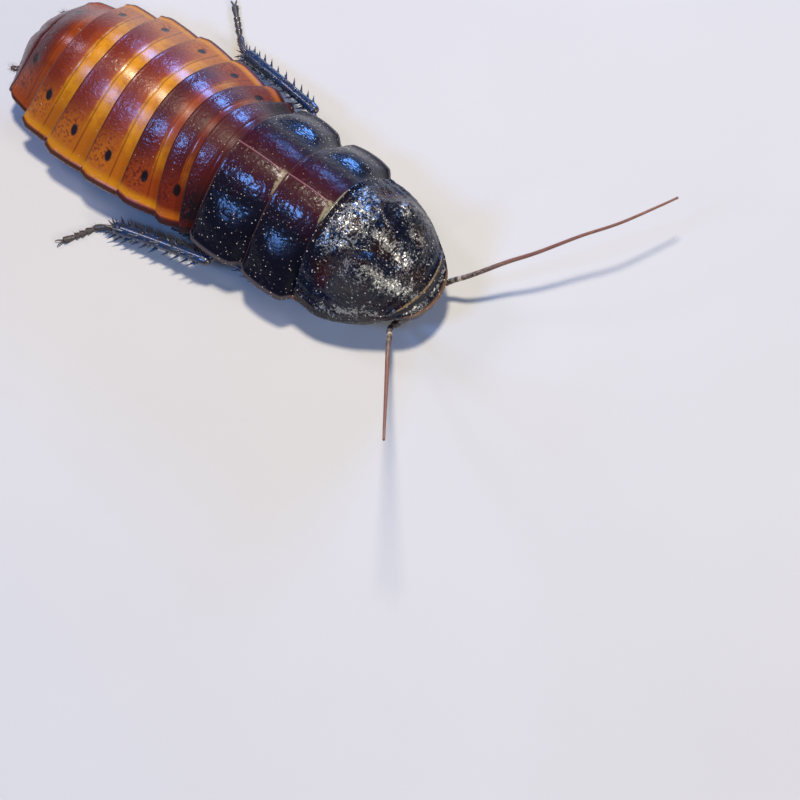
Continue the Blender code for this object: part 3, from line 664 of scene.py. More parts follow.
def plate_shape(rows, front, rear, widths, line, spot):
    """One shingled plate between the lines front and rear, both functions of x. A plate with no line is
    one of the thorax: it has a lobe at each side, rounded off in front and behind, and a fine midrib."""
    fore, hind, bulge = widths
    length = rear(0) - front(0)
    start = -PLATE_UNDERLAP / length

    def place(across, along):
        part, side = np.clip(along, 0, 1), np.abs(across)
        corner = 0.5 * smooth_step(part, 0.7, 1.05)
        if not line:
            corner = 0.9 * smooth_step(part, 0.22, 0.0) + 0.8 * smooth_step(part, 0.86, 1.04)
        x = across * (blend(part, fore, hind) + 4 * bulge * part * (1 - part) - corner * side ** 3)
        station = blend(along, front(x), rear(x))
        z = back_height(across, station)
        z -= PLATE_STEP * (1 - part) ** 1.4 + 0.14 * smooth_step(-along, 0, -start)
        arch = np.clip(np.sin(part * math.pi), 0, 1)
        if line:
            return x, station, z + FIELD_SWELL * arch * (1 - side ** 4)
        arch = arch ** 0.7
        lobes = LOBE_HEIGHT * hill(side - 0.78, 0.16) - VALLEY_DEPTH * hill(side - 0.5, 0.12)
        return x, station, z + arch * lobes - 0.25 * (1 - arch)

    def grid(columns, places):
        return np.meshgrid(crowded(columns), blend(places, start, 1))

    across, along = grid(PLATE_COLUMNS, 1 - (1 - np.linspace(0, 1, rows)) ** 1.4)
    x, station, z = place(across, along)
    to_rear = (1 - along) * length
    to_side = (1 - np.abs(across)) * fore
    edge = np.minimum(to_rear, to_side)
    z += PLATE_ROLL_HEIGHT * hill(to_rear - 0.28, 0.16) + PLATE_SIDE_ROLL_HEIGHT * hill(to_side - 0.35, 0.25)
    z -= rounding(edge, PLATE_THICK * 0.55)
    field = smooth_step(along, line, line + 0.25) * smooth_step(edge, 0.2, 0.6)
    pit = np.zeros_like(x)
    if spot:
        ovals = hill(np.abs(x) - spot[0], SPOT_HALF_WIDTH) * hill(station - spot[1], SPOT_HALF_LENGTH)
        pit = smooth_step(ovals, 0.25, 0.6)
        z -= SPOT_DEPTH * ovals
    if line:
        z -= LINE_DEPTH * hill((along - line) * length, 0.09) * smooth_step(1 - np.abs(across), 0.0, 0.2)
    else:
        midrib = hill(x, 0.1) * smooth_step(along, 0.1, 0.3)
        z += MIDRIB_HEIGHT * midrib
        field *= 1 - 0.8 * midrib
    marks = dict(across=across, along=along, pit=pit, grain=field, wrinkle=0.25 + 0.75 * field)
    upper = points_at(x, station, z)
    across, along = grid(PLATE_COLUMNS // 4, np.linspace(0, 1, rows // 4))
    x, station, z = place(across, along)
    thick = blend(smooth_step(np.abs(across), 0.8, 1.0), PLATE_THICK, FLANGE_THICK)
    return shell(upper, points_at(x, station, z - thick), **marks)


def paint_plate(strip, crest, fore, rear, sides, line, dull):
    """Colours that follow the plate: its along mark runs from 0 in front to 1 at the hind edge."""
    def paint(nodes):
        along, across = nodes.mark("along"), abs(nodes.mark("across"))
        cloud, fleck = nodes.noise(1.3), nodes.noise(0.4, 2.0)
        drift = (cloud - 0.5) * 0.35 + (fleck - 0.5) * 0.25
        reach = along + drift + across.rise(0.5, 0.95) * -0.45
        ring = across.rise(0.4, 0.66) * across.rise(0.92, 0.8)
        colour = nodes.layers(
            crest,
            ((across + drift * 0.4).rise(0.2, 0.7), strip),
            (cloud.rise(0.4, 0.75) * 0.5, fore),
            ((along + drift * 0.2).rise(line, line + 0.1), fore),
            (reach.rise(line, line + 0.45), rear),
            ((across + drift * 0.3).rise(0.46, 0.76) * (1 - reach.rise(0.35, 0.95) * 0.4), sides),
            (ring * fleck.rise(0.5, 0.62) * along.rise(line, 0.6) * 0.75, rear),
            (abs(along - line).rise(0.028, 0.008) * across.rise(0.99, 0.93) * 0.55, (0.05, 0.010, 0.005)),
            (along.rise(0.93, 0.985) * 0.85, (0.030, 0.008, 0.008)),
            ((across + drift * 0.03).rise(0.955, 0.975) * 0.9, (0.022, 0.009, 0.010)),
            (nodes.mark("pit"), PITCH),
            # Pale grain tips and pale specks: partly dust, partly painted glints on the granules.
            (nodes.mark("tip").rise(0.5, 1.0) * 0.15, (0.30, 0.14, 0.09)),
            (nodes.specks(0.8, 0.09, 0.6) * 0.7, (0.60, 0.45, 0.33)),
            (across.rise(0.86, 0.93) * across.rise(0.96, 0.94) * 0.8, strip))
        roughness = 0.2 + 0.14 * fleck + 0.06 * along.rise(line, line + 0.2) + dull * across.rise(0.4, 0.1)
        relief = 0.012 * nodes.noise(0.12, 2.0) + 0.004 * nodes.noise(0.5, 1.0, (8, 1, 1))
        if not dull:
            return colour, roughness, relief
        return colour, roughness, relief, {
            "Coat Weight": across.rise(0.08, 0.28) * across.rise(0.75, 0.55) * 4 * dull}
    return paint


def paint_thorax(nodes):
    along, signed = nodes.mark("along"), nodes.mark("across")
    across, cloud = abs(signed), nodes.noise(1.8)
    fold = (along + across * 0.25 + (cloud - 0.5) * 0.06).rise(0.125, 0.10) * across.rise(0.34, 0.2)
    fold = fold * signed.rise(0.04, 0.0) * nodes.noise(0.25, 2.0, (1, 4, 1)).rise(0.3, 0.5)
    colour = nodes.layers(
        (0.030, 0.003, 0.006),
        ((across + (cloud - 0.5) * 0.4).rise(0.12, 0.5), (0.004, 0.004, 0.009)),
        # Pale grain tips: painted glints on the granules, partly dust.
        (nodes.mark("tip").rise(0.5, 1.0) * 0.3, (0.12, 0.09, 0.08)),
        (across.rise(0.012, 0.004), (0.17, 0.065, 0.065)),
        (fold * 0.85, (0.27, 0.22, 0.13)),
        (along.rise(0.95, 0.99) * 0.6, (0.10, 0.035, 0.025)),
        (across.rise(0.965, 0.985), (0.07, 0.055, 0.055)),
        # Pale specks: partly dust, partly painted glints on the granules.
        (nodes.specks(0.43, 0.085, 0.9) * (0.35 + 0.65 * across.rise(0.2, 0.7)), (0.66, 0.55, 0.45)))
    roughness = 0.2 + 0.2 * cloud + 0.1 * across.rise(0.4, 0.1)
    glossy = signed.rise(-0.66, -0.48) * signed.rise(-0.1, -0.28)
    glossy = glossy + signed.rise(0.38, 0.55) * signed.rise(0.95, 0.8)
    return colour, roughness, 0.006 * nodes.noise(0.12, 2.0), {"Coat Weight": 0.06 + 0.5 * glossy}


front = plate_edge(SHIELD_REAR, -0.9, 3.0, SHIELD_HALF_WIDTH)
ends_at = None
for name, crest, sweep, power in BACK_PLATES:
    if name in THORAX_WIDTHS:
        widths, line, rows, slot = THORAX_WIDTHS[name], 0.0, THORAX_ROWS, "thorax"
        texture = grain(0.28, 0.035, 1.2, 0.13)
        surface = finish(f"{name}_finish", paint_thorax, Coat_Roughness=0.16, IOR=1.5, Specular_IOR_Level=0.1)
    else:
        fore, hind = float(abdomen_half_width(ends_at)), float(abdomen_half_width(crest))
        widths, rows, slot = (fore - PLATE_TOOTH, hind + PLATE_TOOTH, 0.12), PLATE_ROWS, "back"
        texture = grain(0.24, 0.05, 0.8, 0.07)
        *colours, line, dull = PLATE_LOOKS[name]
        surface = finish(f"{name}_finish", paint_plate(*colours, line, dull), Coat_Weight=0.1,
                         Coat_Roughness=0.2, IOR=1.42, Specular_IOR_Level=0.5 - 2 * dull)
    rear = plate_edge(crest, sweep, power, widths[1])
    shape = plate_shape(rows, front, rear, widths, line, SPOTS.get(name))
    piece(f"{name}_horn", shape, surface, name, texture)
    front, ends_at = rear, crest + sweep

# Tail. The last back plate rounds off the body over two short jointed tail feelers. It is dusky brown
# horn with a smooth front strip and a notched hind edge.
TAIL_HALF_WIDTH = 3.9
TAIL_NOTCH = 0.35
TAIL_UNDERLAP = 0.25
CERCUS_Z = 4.2
CERCUS_PATH = ((3.4, 64.0), (4.3, 65.3), (4.9, 66.2), (5.3, 67.1))
CERCUS_JOINTS = 7
CERCUS_ROWS = 90
CERCUS_SIDES = 20
SIDES = ((1, "left"), (-1, "right"))


def tail_place(across, along):
    part = np.clip(along, 0, 1)
    x = across * blend(part ** 1.6, widths[1] - 0.3, TAIL_HALF_WIDTH)
    end = TAIL_END - 0.9 * np.abs(across) ** 2.5 - TAIL_NOTCH * hill(x, 0.7)
    station = blend(along, front(x), end)
    crest = blend(part ** 1.7, float(crest_height(front(0))) - PLATE_STEP, TAIL_END_Z)
    z = blend(roof(across), margin_height(station) - 0.15, crest)
    return x, station, z - 0.3 * smooth_step(-along, 0, TAIL_UNDERLAP)


across, along = np.meshgrid(crowded(240), blend(1 - (1 - np.linspace(0, 1, 64)) ** 1.4, -TAIL_UNDERLAP, 1))
x, station, z = tail_place(across, along)
to_edge = np.minimum((1 - along) * 3.8, (1 - np.abs(across)) * 6)
z += 0.05 * hill(to_edge - 0.25, 0.15) - rounding(to_edge, 0.16)
upper = points_at(x, station, z)
field = smooth_step(along, 0.15, 0.4) * smooth_step(to_edge, 0.1, 0.5)
marks = dict(across=across, along=along, pit=np.zeros_like(x), grain=field, wrinkle=0.3 + field)
x, station, z = tail_place(*np.meshgrid(crowded(60), np.linspace(-TAIL_UNDERLAP, 1, 16)))
tail_finish = finish("dusky_tail_horn", paint_plate(OXBLOOD, OXBLOOD, DUSK, DUSK, DUSK, 0.2, 0.0),
                     Coat_Weight=0.25, Coat_Roughness=0.2, IOR=1.54)
piece("tail_plate_horn", shell(upper, points_at(x, station, z - PLATE_THICK), **marks), tail_finish,
      "tail_plate", grain(0.24, 0.06, 0.8, 0.14))


def unit(vectors):
    return vectors / np.linalg.norm(vectors, axis=-1, keepdims=True)


def limb(path, radii, sides=20, flat=1.0, **marks):
    """A closed limb round a path, flattened in height and never under the floor. The points of a ring
    run from its left edge up, and marks are given along the path."""
    ahead = unit(np.gradient(path, axis=0))
    aside = unit(np.cross(ahead, (0, 0, 1)))
    above = np.cross(aside, ahead)
    turn = np.linspace(0, 2 * math.pi, sides, endpoint=False)
    rings = (path[:, None] + aside[:, None] * (radii[:, None] * np.cos(turn))[..., None]
             + above[:, None] * ((radii * flat)[:, None] * np.sin(turn))[..., None])
    rings[..., 2] = np.maximum(rings[..., 2], 0)
    spread = {}
    for name, mark in {"along": np.linspace(0, 1, len(path)), **marks}.items():
        mark = np.broadcast_to(mark, len(path))
        spread[name] = np.append(np.repeat(mark, sides), mark[[0, -1]])
    return tube(rings, path[[0, -1]], **spread)


def through(points, count, crowd=1.0):
    """Points on a smooth curve through the given ones; crowd above 1 packs them near both ends."""
    knots = np.asarray(points, float)
    padded = np.concatenate([[2 * knots[0] - knots[1]], knots, [2 * knots[-1] - knots[-2]]])
    at = crowded_part(count, crowd) * (len(knots) - 1)
    span = np.minimum(at.astype(int), len(knots) - 2)
    t = (at - span)[:, None]
    a, b, c, d = (padded[span + step] for step in range(4))
    bend = (2 * a - 5 * b + 4 * c - d) * t ** 2 + (3 * b - a - 3 * c + d) * t ** 3
    return 0.5 * (2 * b + (c - a) * t + bend)


def travelled(path):
    """Distance along a path at each of its points."""
    return np.concatenate([[0], np.cumsum(np.linalg.norm(np.diff(path, axis=0), axis=1))])


def rounded_ends(path, radii):
    """Radii that close in a dome at both ends of a path."""
    radii = np.broadcast_to(radii, len(path))
    gone = travelled(path)
    for distance, end in ((gone, radii[0]), (gone[-1] - gone, radii[-1])):
        radii = radii * np.sqrt(1 - np.clip(1 - distance / end, 0, 0.999) ** 2)
    return radii


def make_bristle_tree():
    """Sets a cone at each point whose mark bristle is its length, aimed along the three aim marks."""
    tree, nodes, given = new_tree("bristles", "Base Radius", "Tip Radius", "Sides")
    length, *aims = read_marks(nodes, "bristle", "aim_x", "aim_y", "aim_z")
    rooted = nodes("GeometryNodeMeshToPoints", {}, {"Mesh": given["Geometry"], "Selection": length})
    sides = nodes("FunctionNodeFloatToInt", {}, {"Float": given["Sides"]})
    cone = nodes("GeometryNodeMeshCone", {},
                 {"Vertices": sides, "Side Segments": 2, "Depth": 1.0,
                  "Radius Bottom": given["Base Radius"], "Radius Top": given["Tip Radius"]}, "Mesh")
    turn = nodes("FunctionNodeAlignRotationToVector", {"axis": "Z"}, {"Vector": nodes.vector(*aims)})
    size = nodes.vector(length ** 0.5, length ** 0.5, length)
    grown = nodes("GeometryNodeInstanceOnPoints", {},
                  {"Points": rooted, "Instance": cone, "Rotation": turn, "Scale": size})
    both = nodes("GeometryNodeJoinGeometry", {}, {})
    for part in (given["Geometry"], grown):
        tree.links.new(part.socket, both.socket.node.inputs[0])
    end_tree(nodes, both, given["Material"])
    return tree


bristle_tree = make_bristle_tree()


def bristles(base, tip, sides=6):
    """The tree and its inputs; base and tip are radii as shares of a bristle 1 mm long."""
    radii = {"Base Radius": base * MM ** 0.5, "Tip Radius": tip * MM ** 0.5}
    return bristle_tree, {**radii, "Sides": float(sides)}


def outward(shape, path, sides, chosen):
    """From the middle line of a limb to the chosen points of its skin."""
    return shape.points[chosen] - path[chosen // sides]


def with_bristles(shape, chosen, lengths, aims):
    """Marks the chosen points with the length in metres and the direction of their bristle. No bristle
    goes through the floor."""
    aims = unit(aims)
    room = (shape.points[chosen, 2] - 0.06) / np.maximum(-aims[:, 2], 0.01)
    lengths = np.clip(np.minimum(lengths, room), 0, None) * MM
    for name, values in zip(("bristle", "aim_x", "aim_y", "aim_z"), (lengths, *aims.T)):
        shape.marks[name] = np.zeros(len(shape.points))
        shape.marks[name][chosen] = values
    return shape


def paint_feeler_root(nodes):
    colour = nodes.layers((0.012, 0.008, 0.008), (nodes.noise(0.5), (0.050, 0.022, 0.014)),
                          (nodes.mark("joint"), (0.20, 0.12, 0.07)))
    return colour, 0.42, 0.01 * nodes.noise(0.08, 2.0)


cercus_finish = finish("tail_feeler_horn", paint_feeler_root, Coat_Weight=0.2)
for side, word in SIDES:
    path = through([(side * x, station, CERCUS_Z) for x, station in CERCUS_PATH], CERCUS_ROWS)
    part = np.linspace(0, 1, CERCUS_ROWS)
    knots = np.abs(np.sin(part * CERCUS_JOINTS * math.pi))
    girth = (0.30 + 0.16 * np.sin(part * math.pi) ** 0.8) * (0.86 + 0.14 * knots)
    cercus = limb(path, rounded_ends(path, girth), CERCUS_SIDES, 0.7, joint=smooth_step(knots, 0.5, 0.0))
    rng = np.random.default_rng(7)
    chosen = rng.choice(CERCUS_ROWS * CERCUS_SIDES, 90, replace=False)
    aims = outward(cercus, path, CERCUS_SIDES, chosen) + np.array([0.05 * side, 0.45, 0.05])
    cercus = with_bristles(cercus, chosen, rng.uniform(0.4, 0.9, 90), aims)
    piece(f"tail_feeler_{word}", cercus, cercus_finish, f"cercus_{word}", bristles(0.02, 0.003, 4))

# Belly plates. Smooth amber horn covers the underside, plate behind plate, with a darker hind edge. The
# three under the thorax are half hidden by the roots of the legs, and the last two of them are keeled.
BELLY_PLATES = (("prosternum", 15.6), ("mesosternum", 24.6), ("metasternum", 34.0), ("sternite_2", 38.6),
                ("sternite_3", 42.8), ("sternite_4", 47.9), ("sternite_5", 53.0), ("sternite_6", 58.2),
                ("genital_plate", 63.6))
BELLY_FROM = 7.6
BELLY_INSET = 0.9
BELLY_LAP = 0.5
BELLY_GAP = 0.12
BELLY_THICK = 0.35
BELLY_BELOW_MARGIN = 0.3
BELLY_STEP = 0.22
BELLY_EDGE_ROUND = 0.14
SEAM_DROP = 0.57
SEAM_DROP_AT_TAIL = 0.18
THORAX_HALF_WIDTH = 11.1
KEELED = ("mesosternum", "metasternum")
KEEL_DEPTH = 0.5


def paint_belly(nodes):
    along, across = nodes.mark("along"), abs(nodes.mark("across"))
    cloud = nodes.noise(1.6)
    colour = nodes.layers(
        (0.42, 0.17, 0.045),
        ((along + (cloud - 0.5) * 0.5).rise(0.25, 0.95), (0.17, 0.045, 0.016)),
        (along.rise(0.9, 0.99) * 0.8, (0.05, 0.014, 0.010)),
        ((across + (cloud - 0.5) * 0.2).rise(0.8, 1.0) * 0.8, (0.09, 0.025, 0.016)))
    return colour, 0.26 + 0.16 * cloud, 0.012 * nodes.noise(0.14, 3.0, (3, 1, 1))


def belly_place(name, start, end, across, along):
    station = blend(along, start, end)
    if name == "prosternum":
        seam = MARGIN_Z - 0.3
        half_width = 4.8 + 1.6 * smooth_step(station, start, end)
    else:
        seam = margin_height(station) - SEAM_DROP - SEAM_DROP_AT_TAIL * smooth_step(station, 56, 62)
        half_width = abdomen_half_width(np.minimum(station, TAIL_END - 1))
        half_width = np.where(station < THORAX_END, THORAX_HALF_WIDTH, half_width) - BELLY_INSET
    if name == "genital_plate":
        half_width = half_width * (1 - 0.45 * np.clip(along, 0, 1) ** 3)
    seam = seam - BELLY_BELOW_MARGIN
    round_under = np.clip(1 - across ** 4, 0, 1) ** 0.6
    return across * half_width, station, blend(round_under, seam, belly_height(station))


belly_finish = finish("belly_horn", paint_belly, Coat_Weight=0.3, Coat_Roughness=0.15)
start = BELLY_FROM
for name, end in BELLY_PLATES:
    lap = BELLY_LAP / (end - start)
    across, along = np.meshgrid(crowded(160), blend(np.linspace(0, 1, 40) ** 0.7, -lap, 1))
    x, station, z = belly_place(name, start, end, across, along)
    z += BELLY_STEP * (1 - np.clip(along, 0, 1)) ** 1.4
    z += rounding((1 - along) * (end - start), BELLY_EDGE_ROUND)
    keel = KEEL_DEPTH * hill(x, 0.8) * smooth_step(along, 0.1, 0.4) if name in KEELED else 0
    inner = points_at(x * 0.97, station, z + BELLY_THICK)[::2, ::4]
    plate = shell(inner, points_at(x, station, z - keel))
    for mark, values in (("across", across), ("along", along)):
        plate.marks[mark] = np.append(values[::2, ::4], values)
    piece(f"{name}_horn", plate, belly_finish, name)
    start = end + BELLY_GAP

# Head. A black, domed capsule hangs under the shield, face forward and down, turned a little to the
# right. It has a forked seam over the crown, a ringed socket for each feeler, a pale window beside each
# socket, and a brown lower face.
HEAD_AT = np.array([-0.5, 4.3, 4.15])
HEAD_YAW = math.radians(9)
HEAD_TILT = math.radians(40)
HEAD_HALF_WIDTH = 4.1
HEAD_HALF_LENGTH = 3.1
HEAD_HALF_DEPTH = 2.3
CAPSULE_ROWS = 120
CAPSULE_SIDES = 200
EYE_TURN = math.radians(72)
EYE_RISE = math.radians(30)
EYE_HALF_TURN = math.radians(21)
EYE_HALF_RISE = math.radians(24)
EYE_GROOVE = 0.14
SEAM_DEPTH = 0.05
LIP_SEAM_DEPTH = 0.10
CHEEK_DEPTH = 0.22
SOCKET_RING = 0.72
SOCKET_RING_HEIGHT = 0.12
SOCKET_DEPTH = 0.16
WINDOW_SWELL = 0.05
FEELERS = {
    "left": ((1.6, 2.9, 3.0), (3.4, 2.7, 3.2), (4.4, 1.8, 4.1), (5.2, 0.6, 5.1), (6.6, -0.8, 6.0),
             (9.2, -2.9, 7.0), (12.2, -5.5, 8.0), (16.7, -8.7, 9.0), (20.9, -11.7, 9.4), (26.0, -14.2, 9.0),
             (28.2, -15.2, 8.8)),
    "right": ((-2.9, 3.7, 3.0), (-4.7, 4.3, 3.3), (-5.8, 4.0, 4.3), (-6.9, 3.1, 5.6), (-9.2, 1.4, 8.2),
              (-13.8, -2.3, 14.0), (-18.7, -6.3, 21.0), (-23.6, -10.3, 28.0), (-25.8, -12.1, 31.0))}
head_left = np.array([math.cos(HEAD_YAW), -math.sin(HEAD_YAW), 0])
head_ahead = np.array([-math.sin(HEAD_YAW), -math.cos(HEAD_YAW), 0])
head_crown = head_ahead * math.sin(HEAD_TILT) + np.array([0, 0, math.cos(HEAD_TILT)])
head_face = head_ahead * math.cos(HEAD_TILT) - np.array([0, 0, math.sin(HEAD_TILT)])
head_axes = np.stack([head_left, head_crown, head_face])


def head_place(left, up, out):
    """A point across the head, up it and out of its face from the middle."""
    return HEAD_AT + np.stack(np.broadcast_arrays(left, up, out), -1) @ head_axes


def from_head(point):
    """How far a point lies across the head, up it and out of its face."""
    return (point - HEAD_AT) @ head_axes.T


def head_point(turn, rise, grow=0.0):
    """A point of the capsule: turn goes round it from the face, rise from the mouth to the crown."""
    ring = np.cos(rise) ** 0.85
    left = np.sin(turn) * (HEAD_HALF_WIDTH + grow) * ring * (0.82 + 0.18 * np.sin(rise))
    return head_place(left, np.sin(rise) * (HEAD_HALF_LENGTH + grow),
                      np.cos(turn) * (HEAD_HALF_DEPTH + grow) * ring)


turn, rise = np.meshgrid(np.linspace(0, 2 * math.pi, CAPSULE_SIDES, endpoint=False),
                         np.linspace(-math.pi / 2, math.pi / 2, CAPSULE_ROWS + 2)[1:-1])
capsule = head_point(turn, rise)
width, up, out = np.moveaxis(from_head(capsule), -1, 0)
face = smooth_step(out, 0.2, 1.2)
round_to_side = np.abs((turn + math.pi) % (2 * math.pi) - math.pi)
eye_span = np.hypot((round_to_side - EYE_TURN) / EYE_HALF_TURN, (rise - EYE_RISE) / EYE_HALF_RISE)
fork = np.abs(np.abs(width) - 0.55 * np.clip(1.2 - up, 0, 3))
suture = hill(fork, 0.07) * face * smooth_step(up, -0.9, -0.6) + hill(width, 0.06) * smooth_step(up, 1.1, 1.3)
suture = np.clip(suture, 0, 1)
relief = -EYE_GROOVE * hill(eye_span - 1.08, 0.12) - SEAM_DEPTH * suture
relief -= LIP_SEAM_DEPTH * hill(up + 1.75, 0.09) * face
relief -= CHEEK_DEPTH * hill(np.abs(width) - 1.15, 0.5) * hill(up + 0.9, 0.7) * face
sockets = {}
ring_mark = np.zeros_like(width)
window_mark = np.zeros_like(width)
for side, word in SIDES:
    path = through(FEELERS[word], 400)
    gap = [np.min(np.linalg.norm(capsule - point, axis=-1)) for point in path[:120]]
    socket = path[int(np.argmin(gap))]
    sockets[word] = socket
    span = np.linalg.norm(capsule - socket, axis=-1)
    relief += SOCKET_RING_HEIGHT * hill(span - SOCKET_RING, 0.14) - SOCKET_DEPTH * hill(span, 0.5)
    ring_mark += hill(span - SOCKET_RING, 0.2)
    socket_across, socket_up, _ = from_head(socket)
    window = np.hypot((width - socket_across + side * 0.95) / 0.34, (up - socket_up - 0.75) / 0.26)
    window_mark += smooth_step(window, 1.1, 0.7) * face
    relief += WINDOW_SWELL * smooth_step(window, 1.2, 0.6) * face
outwards = head_point(turn, rise, 1.0) - capsule
marks = dict(jaw=smooth_step(up, -1.2, -2.2), ring=ring_mark, window=window_mark, suture=suture,
             grain=0.3 * smooth_step(up, -0.5, 2.0), wrinkle=0.6 * smooth_step(up, -2, 1))
marks = {name: np.append(mark, (0, 0)) for name, mark in marks.items()}
poles = head_point(np.zeros(2), np.array([-math.pi / 2, math.pi / 2]))
capsule = tube(capsule + relief[..., None] * outwards, poles, turned=True, **marks)


def paint_head(nodes):
    cloud = nodes.noise(1.2)
    colour = nodes.layers(
        (0.010, 0.006, 0.006),
        (cloud.rise(0.4, 0.7), (0.040, 0.012, 0.008)),
        (nodes.mark("jaw"), (0.22, 0.085, 0.035)),
        (nodes.mark("ring").rise(0.3, 0.9), (0.14, 0.06, 0.03)),
        (nodes.mark("window"), (0.62, 0.50, 0.30)),
        (nodes.mark("suture") * 0.6, (0.12, 0.05, 0.03)))
    return colour, 0.2 + 0.2 * cloud, 0.01 * nodes.noise(0.1, 2.0)


head_finish = finish("head_horn", paint_head, Coat_Weight=0.5, Coat_Roughness=0.1, IOR=1.56)
piece("head_capsule", capsule, head_finish, "head", grain(0.22, 0.05, 0.8, 0.10))

# Eyes. Each is a kidney of fine six-sided facets on the side of the head, waist towards the socket of
# the feeler, dark red-brown and glossy, seated in a groove.
EYE_BULGE = 0.55
EYE_STANDS_OUT = 0.10
EYE_ROOT = 0.35
EYE_WAIST = 0.22
EYE_SIDES = 72
EYE_RINGS = 26


def paint_eye(nodes):
    facets, cloud = nodes.cells(0.075), nodes.noise(0.9)
    colour = nodes.layers((0.022, 0.006, 0.008), (cloud, (0.060, 0.014, 0.012)),
                          (facets.rise(0.35, 0.6) * 0.6, (0.006, 0.003, 0.004)))
    return colour, 0.12 + 0.1 * cloud, 0.012 * (1 - facets)


eye_finish = finish("eye_facets", paint_eye, Coat_Weight=0.8, Coat_Roughness=0.05, IOR=1.5)
for side, word in SIDES:
    angle, radius = np.meshgrid(np.linspace(0, 2 * math.pi, EYE_SIDES, endpoint=False),
                                np.linspace(1.0, 0.03, EYE_RINGS))
    waist = 1 - EYE_WAIST * np.clip(np.cos(angle - math.pi), 0, 1) ** 4
    turn = side * (EYE_TURN + EYE_HALF_TURN * radius * np.cos(angle) * waist)
    rise = EYE_RISE + EYE_HALF_RISE * radius * np.sin(angle)
    base = head_point(turn, rise)
    outwards = unit(head_point(turn, rise, 1.0) - base)
    dome = np.sqrt(1 - (0.99 * radius) ** 2.2) ** 0.85
    front_rings = base + outwards * (EYE_STANDS_OUT + EYE_BULGE * dome)[..., None]
    rings = np.concatenate([base[:1] - outwards[:1] * EYE_ROOT, front_rings])
    eye = tube(rings, rings[[0, -1]].mean(1), turned=side > 0)
    piece(f"eye_{word}_facets", eye, eye_finish, f"eye_{word}")

# Mouth. A brown shield and lip hang from the lower face, over two black biting jaws, with the softer
# lower lip behind, and two jointed palps reach forward at each side.
MOUTH_UP = 0.3 - HEAD_HALF_LENGTH
# points of the middle line from the root down: to the left, down and forward of the mouth; half widths
# along it; thickness as a share of width
MIDDLE_FLAPS = (
    (((0, -0.5, 1.15), (0, 0.35, 1.25), (0, 1.0, 1.0)), (1.15, 1.25, 0.95), 0.28),
    (((0, 0.75, 1.05), (0, 1.3, 0.8), (0, 1.75, 0.45)), (0.8, 0.95, 0.6), 0.26),
    (((0, 0.0, -0.7), (0, 0.8, -0.6), (0, 1.4, -0.2)), (1.0, 0.9, 0.5), 0.35))
BITING_JAW = (((1.35, -0.2, 0.4), (1.15, 0.7, 0.45), (0.4, 1.35, 0.4)), (0.75, 0.7, 0.3), 0.75)
SOFT_JAW = (((1.35, 0.0, -0.3), (1.0, 0.9, -0.2), (0.5, 1.4, 0.0)), (0.55, 0.5, 0.25), 0.7)
# points to the left, up and out of the head's middle
LONG_PALP = ((2.0, -2.9, -0.9), (2.9, -2.9, -0.3), (3.0, -3.0, 1.0), (2.2, -3.1, 1.9))
SHORT_PALP = ((0.7, -3.4, -0.75), (1.2, -3.9, -0.65), (1.2, -4.4, -0.05))
LONG_PALP_JOINTS = (0.14, 0.28, 0.52, 0.74)
SHORT_PALP_JOINTS = (0.33, 0.66)
PALP_PINCH = 0.38


def paint_mouth(nodes):
    cloud = nodes.noise(0.7)
    colour = nodes.layers((0.20, 0.075, 0.030), (cloud, (0.40, 0.19, 0.075)),
                          (nodes.mark("biting"), (0.012, 0.007, 0.007)),
                          (nodes.mark("along").rise(0.8, 1.0) * 0.5, (0.10, 0.04, 0.02)))
    return colour, 0.3 + 0.15 * cloud, 0.012 * nodes.noise(0.12, 2.0)


def flap(points, half_widths, flat, side=1, **marks):
    path = through([head_place(side * left, MOUTH_UP - down, forward) for left, down, forward in points],
                   40, 1.5)
    widths = np.interp(crowded_part(40, 1.5), np.linspace(0, 1, len(half_widths)), half_widths)
    return limb(path, rounded_ends(path, widths), 36, flat, **marks)


def palp(points, side, count, sides, girth, joints, pinch_length, band_length):
    """A jointed palp, pinched and pale at each joint. Girth is its half width at the root and the tip."""
    path = through([head_place(side * left, up, out) for left, up, out in points], count)
    part = np.linspace(0, 1, count)
    pinch = np.max([hill(part - joint, pinch_length) for joint in joints], axis=0)
    bands = np.max([hill(part - joint, band_length) for joint in joints], axis=0)
    return limb(path, rounded_ends(path, blend(part, *girth) * (1 - PALP_PINCH * pinch)), sides, joint=bands)


mouth_finish = finish("mouth_horn", paint_mouth, Coat_Weight=0.3)
flaps = [flap(*sizes) for sizes in MIDDLE_FLAPS]
for side, word in SIDES:
    flaps += [flap(*BITING_JAW, side, biting=1.0), flap(*SOFT_JAW, side)]
piece("mouth", sum(flaps[1:], flaps[0]), mouth_finish, "mouthparts")

palp_finish = finish("palp_horn", paint_feeler_root, Coat_Weight=0.25)
for side, word in SIDES:
    palps = palp(LONG_PALP, side, 120, 16, (0.2, 0.29), LONG_PALP_JOINTS, 0.022, 0.03)
    palps += palp(SHORT_PALP, side, 60, 14, (0.2, 0.2), SHORT_PALP_JOINTS, 0.04, 0.05)
    piece(f"palp_{word}_horn", palps, palp_finish, f"palp_{word}")

# Feelers. A thick black first joint and a short second one stand in a ringed socket, with a pale ring at
# each joint. Beyond them a whip of more than a hundred short bead-like joints tapers to the tip.
BEADS = 120
BEAD_OVERLAP = 1.12
SCAPE_LENGTH = 1.9
PEDICEL_LENGTH = 0.75
WHIP_FROM = SCAPE_LENGTH + PEDICEL_LENGTH
WHIP_BASE_RADIUS = 0.40
WHIP_TIP_RADIUS = 0.17


